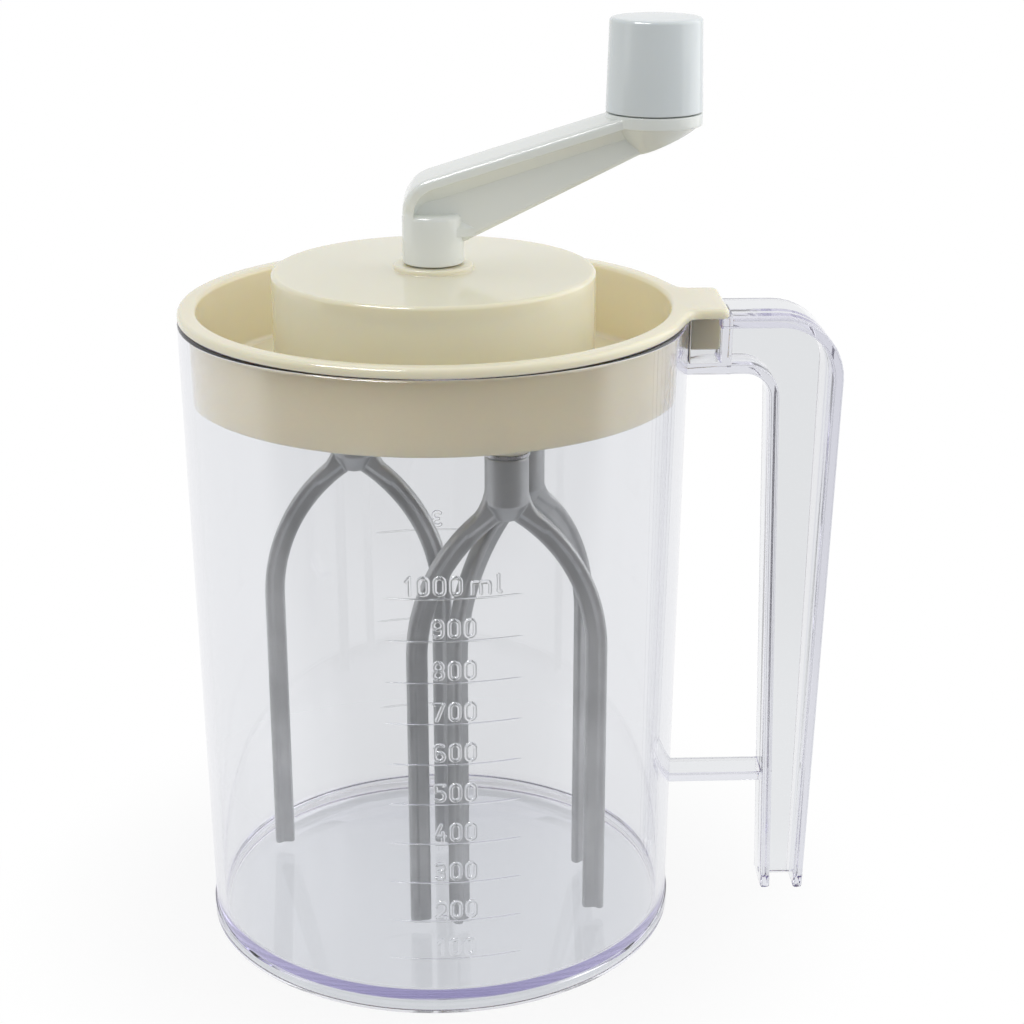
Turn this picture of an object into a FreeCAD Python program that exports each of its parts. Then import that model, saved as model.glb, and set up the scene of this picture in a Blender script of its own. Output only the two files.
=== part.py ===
"""Crank mayonnaise mixer jar: a clear measuring jar with a moulded handle, a lid with a gear drum,
a top crank and three beater forks. Millimetres, +Z up, origin on the jar's axis at the foot plane.
The handle points along +X, and the crank arm points the same way at rest."""
import FreeCAD
import Part
import math
import os
from FreeCAD import Vector

os.makedirs("parts", exist_ok=True)

# ---- jar ----
JAR_H = 154.4            # foot plane to rim
JAR_R = 58.0             # outer radius just above the foot
JAR_DRAFT = 2.1          # the wall leans out by this much up to the rim
JAR_WALL = 2.2
FOOT_LIP = 0.4           # the foot ring stands out from the wall
FOOT_H = 3.0             # height of the foot ring, and of the hollow under the floor
FOOT_W = 3.0             # width of the foot ring
FLOOR_T = 2.1
FOOT_EDGE = 0.7          # bevels: under the foot ring,
RIM_EDGE = 0.4           # outside the rim,
FLOOR_EDGE = 2.0         # and inside, where the wall meets the floor
FOOT_STEP = 0.4          # height of the slope from the foot ring to the wall

# ---- handle, moulded with the jar: two flanges and a web ----
HANDLE_T = 2.4           # flange thickness
HANDLE_REACH = 36.7      # rim's outer wall to the outer flange's outer face
HANDLE_LEAN = 3.0        # the outer flange leans in by this much at its foot
HANDLE_GAP = 19.3        # rim's outer wall to the inner flange's finger side
HANDLE_IN_LEAN = 3.3     # the inner flange leans out by this much at its foot
HANDLE_RUN_DROP = 14.7   # rim to the underside of the lower run
HANDLE_END_Z = 1.2       # the flanges end above the table
HANDLE_TIP = 0.8         # bevels at the flanges' feet
WEB_RISE = 1.8           # the web ends this far above the flanges' feet
HANDLE_W_TOP = 21.0      # outer flange's width along the top run
HANDLE_W_END = 12.0      # outer flange's width at its foot
HANDLE_W_IN = 11.6       # inner flange's and lower run's width
HANDLE_WEB = 2.4
HANDLE_BEND = 15.0       # radius of the top outer bend
FINGER_BEND = 6.0        # radius of the bend above the fingers
STRUT_Z = 33.0           # middle of the flat strut that ties the handle's foot to the jar
STRUT_T = 2.4
STRUT_W = 9.6

# ---- key socket at the handle's root, and the lid's key that drops into it ----
SOCKET_LEN = 7.8         # jar wall to the socket's end wall
SOCKET_WALL = 2.3        # end wall
SOCKET_SIDE = 1.6        # side walls
KEY_CLEAR = 0.35
KEY_DEPTH = 9.0
LUG_W = 23.4             # the lid's lug over the handle's root
LUG_CORNER = 2.0

# ---- lid ----
LID_CLEAR = 0.35         # between the skirt and the jar's wall
LID_WALL = 1.9
LID_FLANGE = 2.5         # flange thickness above the rim
SKIRT_DROP = 17.6        # rim to the skirt's lower edge
WELL_FLOOR = 1.8
RIM_BEVEL = 0.9          # bevels: both edges of the flange's top,
SKIRT_EDGE = 0.5         # the skirt's lower edge,
COLLAR_EDGE = 0.4        # the collar,
DRUM_EDGE = 0.9          # and the drum's top
DRUM_RISE = 10.3         # rim to the drum's top
DRUM_WALL = 1.5
COLLAR_RIM = 2.15        # ring round the crank's hub, wider than it by this much
COLLAR_H = 1.3

# ---- gear train: a central drive gear turns the left and right pinions, the right one turns the front one ----
MODULE = 0.75
DRIVE_TEETH = 49
PINION_TEETH = 16
PRESSURE = math.radians(20)
ADDENDUM = 0.95          # in modules
DEDENDUM = 1.25          # in modules
BACKLASH = 0.10          # taken off each tooth at the pitch circle
LEFT_ANGLE = 146.6       # where the left beater's axis stands, seen from above
FRONT_TURN = -110.8      # direction of the front beater's axis from the right one's
GEAR_T = 6.0
PINION_T = 7.0
GEAR_GAP = 0.35          # from the farthest pinion's tips to the drum's wall

# ---- shafts and bearings ----
RUN_CLEAR = 0.05         # radial clearance of a running shaft
FIT_CLEAR = 0.04         # between a shaft's flats and the piece that it drives
END_CLEAR = 0.2          # axial play between turning and standing pieces
SHAFT_R = 4.0            # drive shaft
PIVOT_R = 2.5            # its lower pivot
BUSH_WALL = 1.15
BUSH_FLANGE = 1.0
BOSS_WALL = 2.4
COVER_T = 2.6            # cover plate that closes the drum from below
COVER_GAP = 0.15
HUB_DROP = 8.6           # bearing hubs below the cover plate
HUB_RISE = 3.2           # and above it
JOURNAL_R = 3.0          # beater journal
CLIP_T = 0.8
WASHER_T = 0.8
SCREW_R = 1.4
SCREW_HEAD_R = 2.7
SCREW_HEAD_T = 1.6
SCREW_LEN = 14.0
SCREW_BOSS_R = 3.2
SCREW_SPREAD = 38.0      # the screws stand this far each side of the line square to the left and right beaters

# ---- beater forks, cast ----
STEM_GAP = 1.8           # between the stems of the right and front beaters
STEM_LEN = 12.6          # round stem below its shoulder
ARCH_R = 43.6            # radius of the arch's middle line
TINE_W = 5.0             # in the fork's plane
TINE_T = 2.5             # thickness of the flat inner band
RIB_W = 2.0              # outer rib, in the fork's plane
RIB_T = 3.9              # and across it
TINE_FLOOR_GAP = 2.4     # from the tines' ends to the jar's floor
REACH_WALL_GAP = 2.4     # from the tines' sweep to the jar's wall
REACH_GAP = 0.55         # half the space between the left and right sweeps
LEFT_PLANE = -2.2        # directions of the three forks' planes at rest
FRONT_PLANE = 6.3

# ---- crank ----
CRANK_LEN = 51.0         # drive axis to the knob's axis
HUB_R = 7.25
HUB_H = 11.8
HUB_EDGE = 1.3           # bevel of the hub's shoulder
ARM_W = 16.0             # top flange of the T-shaped arm
ARM_T = 2.6
ARM_WEB = 6.0
ARM_BEVEL = 3.0          # slope between the flange's underside and the web
ARM_TOP = 21.2           # hub's lower face to the arm's top at the drive axis
ARM_SLOPE = 16.75        # degrees, along the top
ARM_FOOT = 5.0           # hub's lower face to the web's lower edge beside the hub
ARM_BEND = 9.0           # the flange turns down into the hub with this radius
HUB_CLEAR = 0.3
RING_T = 2.9             # disc that the knob stands on
RING_STEP = 1.3          # the arm's top meets the disc this far below the disc's top
BOSS_CONE = 8.5          # height of the cone under the disc
SQUARE = 6.0             # shaft's square end, across its flats
SQUARE_ROOF = 2.0        # left of the hub above the square

# ---- knob ----
KNOB_R = 11.2
KNOB_DRAFT = 0.6         # the knob narrows by this much up to its top
KNOB_H = 21.0
KNOB_EDGE = 0.9
KNOB_WALL = 2.0
KNOB_CLEAR = 0.3
PIN_R = 2.5
PIN_ROOT = 5.0           # length of the pin in the cone under the disc
SLEEVE_WALL = 2.0
SLEEVE_LEN = 14.0
SLEEVE_FLANGE = 1.2

# ---- places that follow from the sizes above ----
foot_r = JAR_R + FOOT_LIP
jar_r_rim = JAR_R + JAR_DRAFT
floor_z = FOOT_H + FLOOR_T
skirt_z = JAR_H - SKIRT_DROP
flange_z = JAR_H + LID_FLANGE
well_z = skirt_z + WELL_FLOOR
drum_z = JAR_H + DRUM_RISE
drum_roof_z = drum_z - DRUM_WALL
collar_r = HUB_R + COLLAR_RIM
collar_z = drum_z + COLLAR_H
cover_z = skirt_z + COVER_T
drive_r = MODULE * DRIVE_TEETH / 2
pinion_r = MODULE * PINION_TEETH / 2
stem_r = pinion_r - STEM_GAP / 2
beater_circle = drive_r + pinion_r
hub_low_z = skirt_z - HUB_DROP
hub_top_z = cover_z + HUB_RISE
pinion_z = hub_top_z + END_CLEAR
gear_z = pinion_z + (PINION_T - GEAR_T) / 2
bush_r = SHAFT_R + RUN_CLEAR + BUSH_WALL
crank_z = collar_z + HUB_CLEAR
square_top = crank_z + HUB_H - SQUARE_ROOF
arm_slope = math.tan(math.radians(ARM_SLOPE))
ring_z = crank_z + ARM_TOP + (CRANK_LEN - KNOB_R) * arm_slope + RING_STEP
knob_top_r = KNOB_R - KNOB_DRAFT
knob_z = ring_z + KNOB_CLEAR
pocket_end = jar_r_rim + SOCKET_LEN
pocket_w = HANDLE_W_IN - 2 * SOCKET_SIDE


def jar_outer(z):
    """Outer radius of the jar's wall at a height."""
    return JAR_R + JAR_DRAFT * (z - FOOT_H) / (JAR_H - FOOT_H)


def jar_inner(z):
    return jar_outer(z) - JAR_WALL


def polar(radius, degrees):
    return (radius * math.cos(math.radians(degrees)), radius * math.sin(math.radians(degrees)))


left_at = polar(beater_circle, LEFT_ANGLE)
right_at = polar(beater_circle, LEFT_ANGLE + 180)
step = polar(2 * pinion_r, FRONT_TURN)
front_at = (right_at[0] + step[0], right_at[1] + step[1])
front_circle = math.hypot(*front_at)
# the right and front forks turn in opposite ways and pass between each other, square to each other on their line
RIGHT_PLANE = 2 * (FRONT_TURN + 180) - 90 - FRONT_PLANE
drum_in_r = front_circle + pinion_r + ADDENDUM * MODULE + GEAR_GAP
drum_r = drum_in_r + DRUM_WALL
tine_z = floor_z + TINE_FLOOR_GAP
fork_reach = min(jar_inner(floor_z) - front_circle - REACH_WALL_GAP, beater_circle - REACH_GAP)


# ---- tools for outlines and solids ----
def rounded_wire(corners, plane):
    """Closed wire through corners (u, v) or (u, v, radius). A corner is rounded by its radius, and a
    negative radius cuts it straight instead, that far along each side."""
    pts = [(c[0], c[1], c[2] if len(c) > 2 else 0.0) for c in corners]
    edges = []
    last = None
    first = None
    for i, (u, v, rad) in enumerate(pts):
        a = Vector(pts[i - 1][0] - u, pts[i - 1][1] - v, 0)
        nxt = pts[(i + 1) % len(pts)]
        b = Vector(nxt[0] - u, nxt[1] - v, 0)
        a.normalize()
        b.normalize()
        here = Vector(u, v, 0)
        middle = None
        run = 0.0
        if rad > 0:
            half = a.getAngle(b) / 2
            run = rad / math.tan(half)
            bisector = a + b
            bisector.normalize()
            middle = here + bisector * (rad / math.sin(half) - rad)
        elif rad < 0:
            run = -rad
        start = here + a * run
        end = here + b * run
        if last is None:
            first = start
        elif (start - last).Length > 1e-6:
            edges.append(Part.LineSegment(place(last, plane), place(start, plane)).toShape())
        if middle is not None:
            edges.append(Part.Arc(place(start, plane), place(middle, plane), place(end, plane)).toShape())
        elif run > 0:
            edges.append(Part.LineSegment(place(start, plane), place(end, plane)).toShape())
        last = end
    if (first - last).Length > 1e-6:
        edges.append(Part.LineSegment(place(last, plane), place(first, plane)).toShape())
    return Part.Wire(edges)


def place(point, plane):
    """A point of a flat outline, put in the XZ, YZ or XY plane."""
    if plane == "XZ":
        return Vector(point.x, 0, point.y)
    if plane == "YZ":
        return Vector(0, point.x, point.y)
    return Vector(point.x, point.y, 0)


def revolved(corners):
    """Solid of revolution about Z from (radius, z) corners."""
    face = Part.Face(rounded_wire(corners, "XZ"))
    return face.revolve(Vector(0, 0, 0), Vector(0, 0, 1), 360)


def slab_y(corners, width):
    """An XZ outline, thickened evenly to both sides along Y."""
    face = Part.Face(rounded_wire(corners, "XZ"))
    face.translate(Vector(0, -width / 2, 0))
    return face.extrude(Vector(0, width, 0))


def slab_x(corners, start, length):
    face = Part.Face(rounded_wire(corners, "YZ"))
    face.translate(Vector(start, 0, 0))
    return face.extrude(Vector(length, 0, 0))


def slab_z(corners, start, height):
    face = Part.Face(rounded_wire(corners, "XY"))
    face.translate(Vector(0, 0, start))
    return face.extrude(Vector(0, 0, height))


def rod(radius, low, high, at=(0, 0)):
    return Part.makeCylinder(radius, high - low, Vector(at[0], at[1], low))


def tube(outer, inner, low, high, at=(0, 0)):
    return rod(outer, low, high, at).cut(rod(inner, low - 1, high + 1, at))


def block(x0, x1, y0, y1, z0, z1):
    return Part.makeBox(x1 - x0, y1 - y0, z1 - z0, Vector(x0, y0, z0))


def flatted(radius, low, high, grow=0.0):
    """A round shaft with two flats, at a shaft's end that drives a gear."""
    flat = 0.74 * radius + grow
    return rod(radius + grow, low, high).common(block(-radius - 1, radius + 1, -flat, flat, low, high))


def spun(shape, degrees, at):
    """A shape made on the Z axis, turned about it and moved to its place."""
    shape = shape.copy()
    shape.rotate(Vector(0, 0, 0), Vector(0, 0, 1), degrees)
    shape.translate(Vector(at[0], at[1], 0))
    return shape


def joined(shapes):
    whole = shapes[0].multiFuse(shapes[1:])
    return whole.removeSplitter()


def save(shape, name):
    solids = shape.Solids
    result = solids[0] if len(solids) == 1 else Part.makeCompound(solids)
    if not result.isValid():
        raise ValueError(name + " is not a valid solid")
    result.exportStep("parts/" + name + ".step")
    print(name, len(solids), "solid(s)", round(result.Volume, 1), "mm3")


# ---- jar with its handle ----
def handle_flanges():
    """Outer flange, inner flange and web, as outlines in the XZ plane given their widths in Y."""
    root = pocket_end
    top = JAR_H
    run = JAR_H - HANDLE_RUN_DROP
    out_top = jar_r_rim + HANDLE_REACH
    out_end = out_top - HANDLE_LEAN
    in_top = jar_r_rim + HANDLE_GAP
    in_end = in_top + HANDLE_IN_LEAN
    t = HANDLE_T
    outer = slab_y([(root, top), (out_top, top, HANDLE_BEND), (out_end, HANDLE_END_Z, -HANDLE_TIP),
                    (out_end - t, HANDLE_END_Z, -HANDLE_TIP), (out_top - t, top - t, HANDLE_BEND - t),
                    (root, top - t)], HANDLE_W_TOP)
    wide = HANDLE_W_TOP / 2
    narrow = HANDLE_W_END / 2
    taper = slab_x([(-wide, top + 1), (-wide, run), (-narrow, 0), (narrow, 0), (wide, run), (wide, top + 1)],
                   root, out_top - root + 1)
    inner = slab_y([(root, run), (in_top, run, FINGER_BEND), (in_end, HANDLE_END_Z, -HANDLE_TIP),
                    (in_end + t, HANDLE_END_Z, -HANDLE_TIP), (in_top + t, run + t, FINGER_BEND + t),
                    (root, run + t)], HANDLE_W_IN)
    h = t / 2
    web_end = HANDLE_END_Z + WEB_RISE
    web_out = out_end + HANDLE_LEAN * WEB_RISE / (top - HANDLE_END_Z) - h
    web_in = in_end - HANDLE_IN_LEAN * WEB_RISE / (run - HANDLE_END_Z) + h
    web = slab_y([(root, top - h), (out_top - h, top - h, HANDLE_BEND - h), (web_out, web_end),
                  (web_in, web_end), (in_top + h, run + h, FINGER_BEND + h), (root, run + h)], HANDLE_WEB)
    return [outer.common(taper), inner, web]


def key_socket():
    """Box at the handle's root, open on top, with the jar's own wall as its inner side."""
    half = HANDLE_W_IN / 2
    floor = JAR_H - HANDLE_RUN_DROP
    shell = block(jar_r_rim - JAR_WALL, pocket_end + SOCKET_WALL, -half, half, floor, JAR_H)
    pocket = block(jar_r_rim - JAR_WALL - 1, pocket_end, -pocket_w / 2, pocket_w / 2, floor + HANDLE_T, JAR_H + 1)
    return shell.cut(pocket)


def strut():
    half = STRUT_W / 2
    edge = STRUT_T / 2 - 0.1
    low = STRUT_Z - STRUT_T / 2
    high = STRUT_Z + STRUT_T / 2
    reach = jar_r_rim + HANDLE_GAP + HANDLE_IN_LEAN - (JAR_R - 1)
    section = [(-half, low, edge), (half, low, edge), (half, high, edge), (-half, high, edge)]
    return slab_x(section, JAR_R - 1, reach)


def make_jar():
    wall = revolved([(0, 0), (foot_r, 0, -FOOT_EDGE), (foot_r, FOOT_H), (JAR_R, FOOT_H + FOOT_STEP),
                     (jar_r_rim, JAR_H, -RIM_EDGE), (0, JAR_H)])
    body = joined([wall, key_socket(), strut()] + handle_flanges())
    cavity = revolved([(0, floor_z), (jar_inner(floor_z), floor_z, -FLOOR_EDGE), (jar_inner(JAR_H), JAR_H),
                       (jar_inner(JAR_H), JAR_H + 1), (0, JAR_H + 1)])
    hollow = rod(foot_r - FOOT_W, -1, FOOT_H)
    return body.cut(cavity).cut(hollow)


# ---- lid ----
def screw_places():
    square = LEFT_ANGLE - 90
    turns = [square - SCREW_SPREAD, square + SCREW_SPREAD, square + 180 - SCREW_SPREAD, square + 180 + SCREW_SPREAD]
    return [polar(drum_in_r - SCREW_BOSS_R - 1.5, turn) for turn in turns]


def lid_lug():
    """Plate over the handle's root, with the key that drops into the socket."""
    end = pocket_end + 0.7
    half = LUG_W / 2
    plate = slab_z([(jar_r_rim - 8, -half), (end, -half, LUG_CORNER), (end, half, LUG_CORNER),
                    (jar_r_rim - 8, half)], JAR_H, LID_FLANGE)
    near = jar_r_rim + KEY_CLEAR
    half_key = pocket_w / 2 - KEY_CLEAR
    key = block(near, pocket_end - KEY_CLEAR, -half_key, half_key, JAR_H - KEY_DEPTH, JAR_H + 0.5)
    return [plate.cut(rod(jar_r_rim - 2, JAR_H - 1, flange_z + 1)), key]


def make_lid():
    bore = bush_r + RUN_CLEAR
    boss = bore + BOSS_WALL
    boss_z = bush_flange_top()
    skirt_top_r = jar_inner(JAR_H) - LID_CLEAR
    skirt_low_r = jar_inner(skirt_z) - LID_CLEAR
    body = revolved([
        (bore, collar_z), (collar_r, collar_z, -COLLAR_EDGE), (collar_r, drum_z), (drum_r, drum_z, -DRUM_EDGE),
        (drum_r, well_z), (skirt_low_r - LID_WALL, well_z), (skirt_top_r - LID_WALL, flange_z, -RIM_BEVEL),
        (jar_r_rim - 0.1, flange_z, -RIM_BEVEL), (jar_r_rim - 0.1, JAR_H), (skirt_top_r, JAR_H),
        (skirt_low_r, skirt_z, -SKIRT_EDGE), (drum_in_r, skirt_z), (drum_in_r, drum_roof_z), (boss, drum_roof_z),
        (boss, boss_z), (bore, boss_z)])
    posts = []
    holes = []
    for at in screw_places():
        posts.append(rod(SCREW_BOSS_R, cover_z, drum_roof_z + 0.5, at))
        holes.append(rod(SCREW_R + RUN_CLEAR, cover_z - 1, skirt_z + SCREW_LEN + 1, at))
    whole = joined([body] + posts + lid_lug())
    for hole in holes:
        whole = whole.cut(hole)
    return whole


def bush_flange_top():
    """Lower end of the lid's shaft boss, where the bush's flange bears."""
    return gear_hub_top() + 2 * END_CLEAR + WASHER_T + BUSH_FLANGE


def gear_hub_top():
    return gear_z + GEAR_T + 1.6


def make_cover():
    """Plate that closes the drum, with the beaters' bearing hubs and the drive shaft's pivot socket."""
    plate = rod(drum_in_r - COVER_GAP, skirt_z, cover_z)
    solids = [plate, rod(PIVOT_R + 2.4, skirt_z, hub_top_z - 1.0)]
    for at in (left_at, right_at, front_at):
        solids.append(rod(stem_r + 0.4, hub_low_z, skirt_z + 0.5, at))
        solids.append(rod(stem_r - 0.5, skirt_z, hub_top_z, at))
    body = joined(solids)
    for at in (left_at, right_at, front_at):
        body = body.cut(rod(JOURNAL_R + RUN_CLEAR, hub_low_z - 1, hub_top_z + 1, at))
    body = body.cut(rod(PIVOT_R + RUN_CLEAR, skirt_z + 1.0, hub_top_z))
    for at in screw_places():
        body = body.cut(rod(SCREW_R + RUN_CLEAR, skirt_z - 1, cover_z + 1, at))
    return body


def make_screws():
    screws = []
    for at in screw_places():
        screw = revolved([(0, skirt_z - SCREW_HEAD_T), (SCREW_HEAD_R, skirt_z - SCREW_HEAD_T),
                          (SCREW_HEAD_R, skirt_z), (SCREW_R, skirt_z), (SCREW_R, skirt_z + SCREW_LEN),
                          (0, skirt_z + SCREW_LEN)])
        slot = block(-0.4, 0.4, -SCREW_HEAD_R, SCREW_HEAD_R, skirt_z - 3, skirt_z - SCREW_HEAD_T + 0.7)
        screw = screw.cut(slot)
        screw.translate(Vector(at[0], at[1], 0))
        screws.append(screw)
    return Part.makeCompound(screws)


def make_bush():
    top = bush_flange_top()
    sleeve = tube(bush_r, SHAFT_R + RUN_CLEAR, top - BUSH_FLANGE, collar_z - 0.3)
    flange = tube(bush_r + BOSS_WALL, SHAFT_R + RUN_CLEAR, top - BUSH_FLANGE, top)
    return joined([sleeve, flange])


# ---- gears ----
def involute(base, radius):
    """Angle that the involute of a base circle has turned through at a radius."""
    ratio = base / radius
    return math.sqrt(1 / ratio ** 2 - 1) - math.acos(ratio)


def gear_disc(teeth, low, height, curved):
    """Spur gear with a tooth on +X. A flank is an arc through three points of its involute, or its chord."""
    pitch = MODULE * teeth / 2
    base = pitch * math.cos(PRESSURE)
    tip = pitch + ADDENDUM * MODULE
    root = pitch - DEDENDUM * MODULE
    start = max(base, root)
    half = math.pi / (2 * teeth) - BACKLASH / (2 * pitch) + involute(base, pitch)
    radii = [start, (start + tip) / 2, tip]

    def flank(number, side):
        middle = 2 * math.pi * number / teeth
        return [Vector(r * math.cos(middle + side * (half - involute(base, r))),
                       r * math.sin(middle + side * (half - involute(base, r))), 0) for r in radii]

    edges = []
    for number in range(teeth):
        rise = flank(number, -1)
        fall = flank(number, 1)
        fall.reverse()
        following = flank(number + 1, -1)
        foot = fall[2] * (root / start)
        next_foot = following[0] * (root / start)
        for points in (rise, fall):
            side = Part.Arc(*points) if curved else Part.LineSegment(points[0], points[2])
            edges.append(side.toShape())
            if points is rise:
                edges.append(Part.LineSegment(rise[2], fall[0]).toShape())
        if root < start:
            edges.append(Part.LineSegment(fall[2], foot).toShape())
        edges.append(Part.LineSegment(foot, next_foot).toShape())
        if root < start:
            edges.append(Part.LineSegment(next_foot, following[0]).toShape())
    face = Part.Face(Part.Wire(edges))
    face.translate(Vector(0, 0, low))
    return face.extrude(Vector(0, 0, height))


def mesh_turn(teeth_a, turn_a, teeth_b, toward_b):
    """Turn of gear b so that its teeth fall between those of gear a, which lies back along toward_b."""
    share_a = (toward_b - turn_a) / (360 / teeth_a)
    return toward_b + 180 - (0.5 - share_a) * 360 / teeth_b


def make_drive_gear():
    """Drive gear with a thin web between its rim and its hub."""
    gear = gear_disc(DRIVE_TEETH, gear_z, GEAR_T, False)
    rim = drive_r - 3.4
    hub = SHAFT_R + 3.0
    web_low = gear_z + 1.8
    web_high = gear_z + GEAR_T - 1.8
    gear = gear.cut(tube(rim, hub, gear_z - 1, web_low)).cut(tube(rim, hub, web_high, gear_z + GEAR_T + 1))
    gear = gear.fuse(rod(hub, gear_z, gear_hub_top())).removeSplitter()
    return gear.cut(flatted(SHAFT_R, gear_z - 1, gear_hub_top() + 1, FIT_CLEAR))


def make_shaft():
    """Drive shaft: pivot, flatted seat for the gear, journal, and the square end inside the crank."""
    clip_z = gear_z - END_CLEAR - CLIP_T
    seat = flatted(SHAFT_R, clip_z - 0.6, gear_hub_top())
    seat = seat.cut(tube(SHAFT_R + 1, SHAFT_R - 1.2, clip_z, clip_z + CLIP_T))
    pivot = rod(PIVOT_R, skirt_z + 1.3, clip_z - 0.5)
    journal = rod(SHAFT_R, gear_hub_top(), crank_z + 0.5)
    half = SQUARE / 2
    square = rod(SHAFT_R, crank_z, square_top).common(block(-half, half, -half, half, crank_z, square_top))
    return joined([pivot, seat, journal, square])


def clip_ring(outer, inner, low, turn=0.0):
    """Retaining ring with its open mouth."""
    ring = tube(outer, inner, low, low + CLIP_T)
    mouth = block(0, outer + 1, -inner * 0.62, inner * 0.62, low - 1, low + CLIP_T + 1)
    mouth.rotate(Vector(0, 0, 0), Vector(0, 0, 1), turn)
    return ring.cut(mouth)


def make_gear_clip():
    return clip_ring(SHAFT_R + 1.6, SHAFT_R - 1.2 + FIT_CLEAR, gear_z - END_CLEAR - CLIP_T)


def make_gear_washer():
    return tube(SHAFT_R + 2.9, SHAFT_R + 0.1, gear_hub_top() + END_CLEAR, gear_hub_top() + END_CLEAR + WASHER_T)


# ---- beaters ----
def clip_z_of_pinion():
    return pinion_z + PINION_T + END_CLEAR


def fork_arms(width_in, width_out, thickness):
    """Two arms of the arch with their tines, between two offsets from the outer edge of the fork."""
    arms = []
    outer = fork_reach - width_in
    inner = fork_reach - width_out
    middle = fork_reach - TINE_W / 2
    centre = middle - ARCH_R
    for side in (1, -1):
        ring = Part.makeCylinder(ARCH_R + outer - middle, thickness, Vector(centre, thickness / 2, arch_z),
                                 Vector(0, -1, 0))
        ring = ring.cut(Part.makeCylinder(ARCH_R + inner - middle, thickness + 2,
                                          Vector(centre, thickness / 2 + 1, arch_z), Vector(0, -1, 0)))
        ring = ring.common(block(0, outer + 1, -thickness, thickness, arch_z, arch_z + ARCH_R + 5))
        tine = block(inner, outer, -thickness / 2, thickness / 2, tine_z, arch_z)
        arm = joined([ring, tine])
        if side < 0:
            arm = arm.mirror(Vector(0, 0, 0), Vector(1, 0, 0))
        arms.append(arm)
    return arms


shoulder_z = hub_low_z - 2 * END_CLEAR - WASHER_T
stem_low_z = shoulder_z - STEM_LEN
# the outer edges of the arms run into the stem just above its lower end
arch_drop = math.sqrt((ARCH_R + TINE_W / 2) ** 2 - (stem_r + ARCH_R + TINE_W / 2 - fork_reach) ** 2)
arch_z = stem_low_z - arch_drop


def make_fork():
    """Fork made on the Z axis in the XZ plane: stem, journal, and two ribbed arms."""
    arms = joined(fork_arms(0, TINE_W, TINE_T) + fork_arms(0, RIB_W, RIB_T))
    top = clip_z_of_pinion() + CLIP_T + 1.0
    stem = rod(stem_r, stem_low_z, shoulder_z)
    crotch = Part.makeCone(RIB_T / 2, stem_r, stem_r - RIB_T / 2, Vector(0, 0, stem_low_z - (stem_r - RIB_T / 2)))
    journal = rod(JOURNAL_R, shoulder_z - 1, pinion_z)
    seat = flatted(JOURNAL_R, pinion_z, top)
    seat = seat.cut(tube(JOURNAL_R + 1, JOURNAL_R - 0.8, clip_z_of_pinion(), clip_z_of_pinion() + CLIP_T))
    return joined([arms, stem, crotch, journal, seat])


def make_pinion(turn):
    """Pinion on the Z axis. Its teeth are turned to mesh while its bore keeps to the fork's flats."""
    teeth = gear_disc(PINION_TEETH, pinion_z, PINION_T, True)
    teeth.rotate(Vector(0, 0, 0), Vector(0, 0, 1), turn)
    return teeth.cut(flatted(JOURNAL_R, pinion_z - 1, pinion_z + PINION_T + 1, FIT_CLEAR))


# ---- crank and knob ----
def lies_between(edge, flange, side):
    """True for an edge where the web's side, this far from the middle, meets the flange's surface."""
    middle = edge.valueAt((edge.FirstParameter + edge.LastParameter) / 2)
    ends = [vertex.Point for vertex in edge.Vertexes] + [middle]
    on_side = all(abs(abs(point.y) - side) < 1e-5 for point in ends)
    return on_side and all(flange.distToShape(Part.Vertex(point))[0] < 1e-5 for point in ends)


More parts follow.
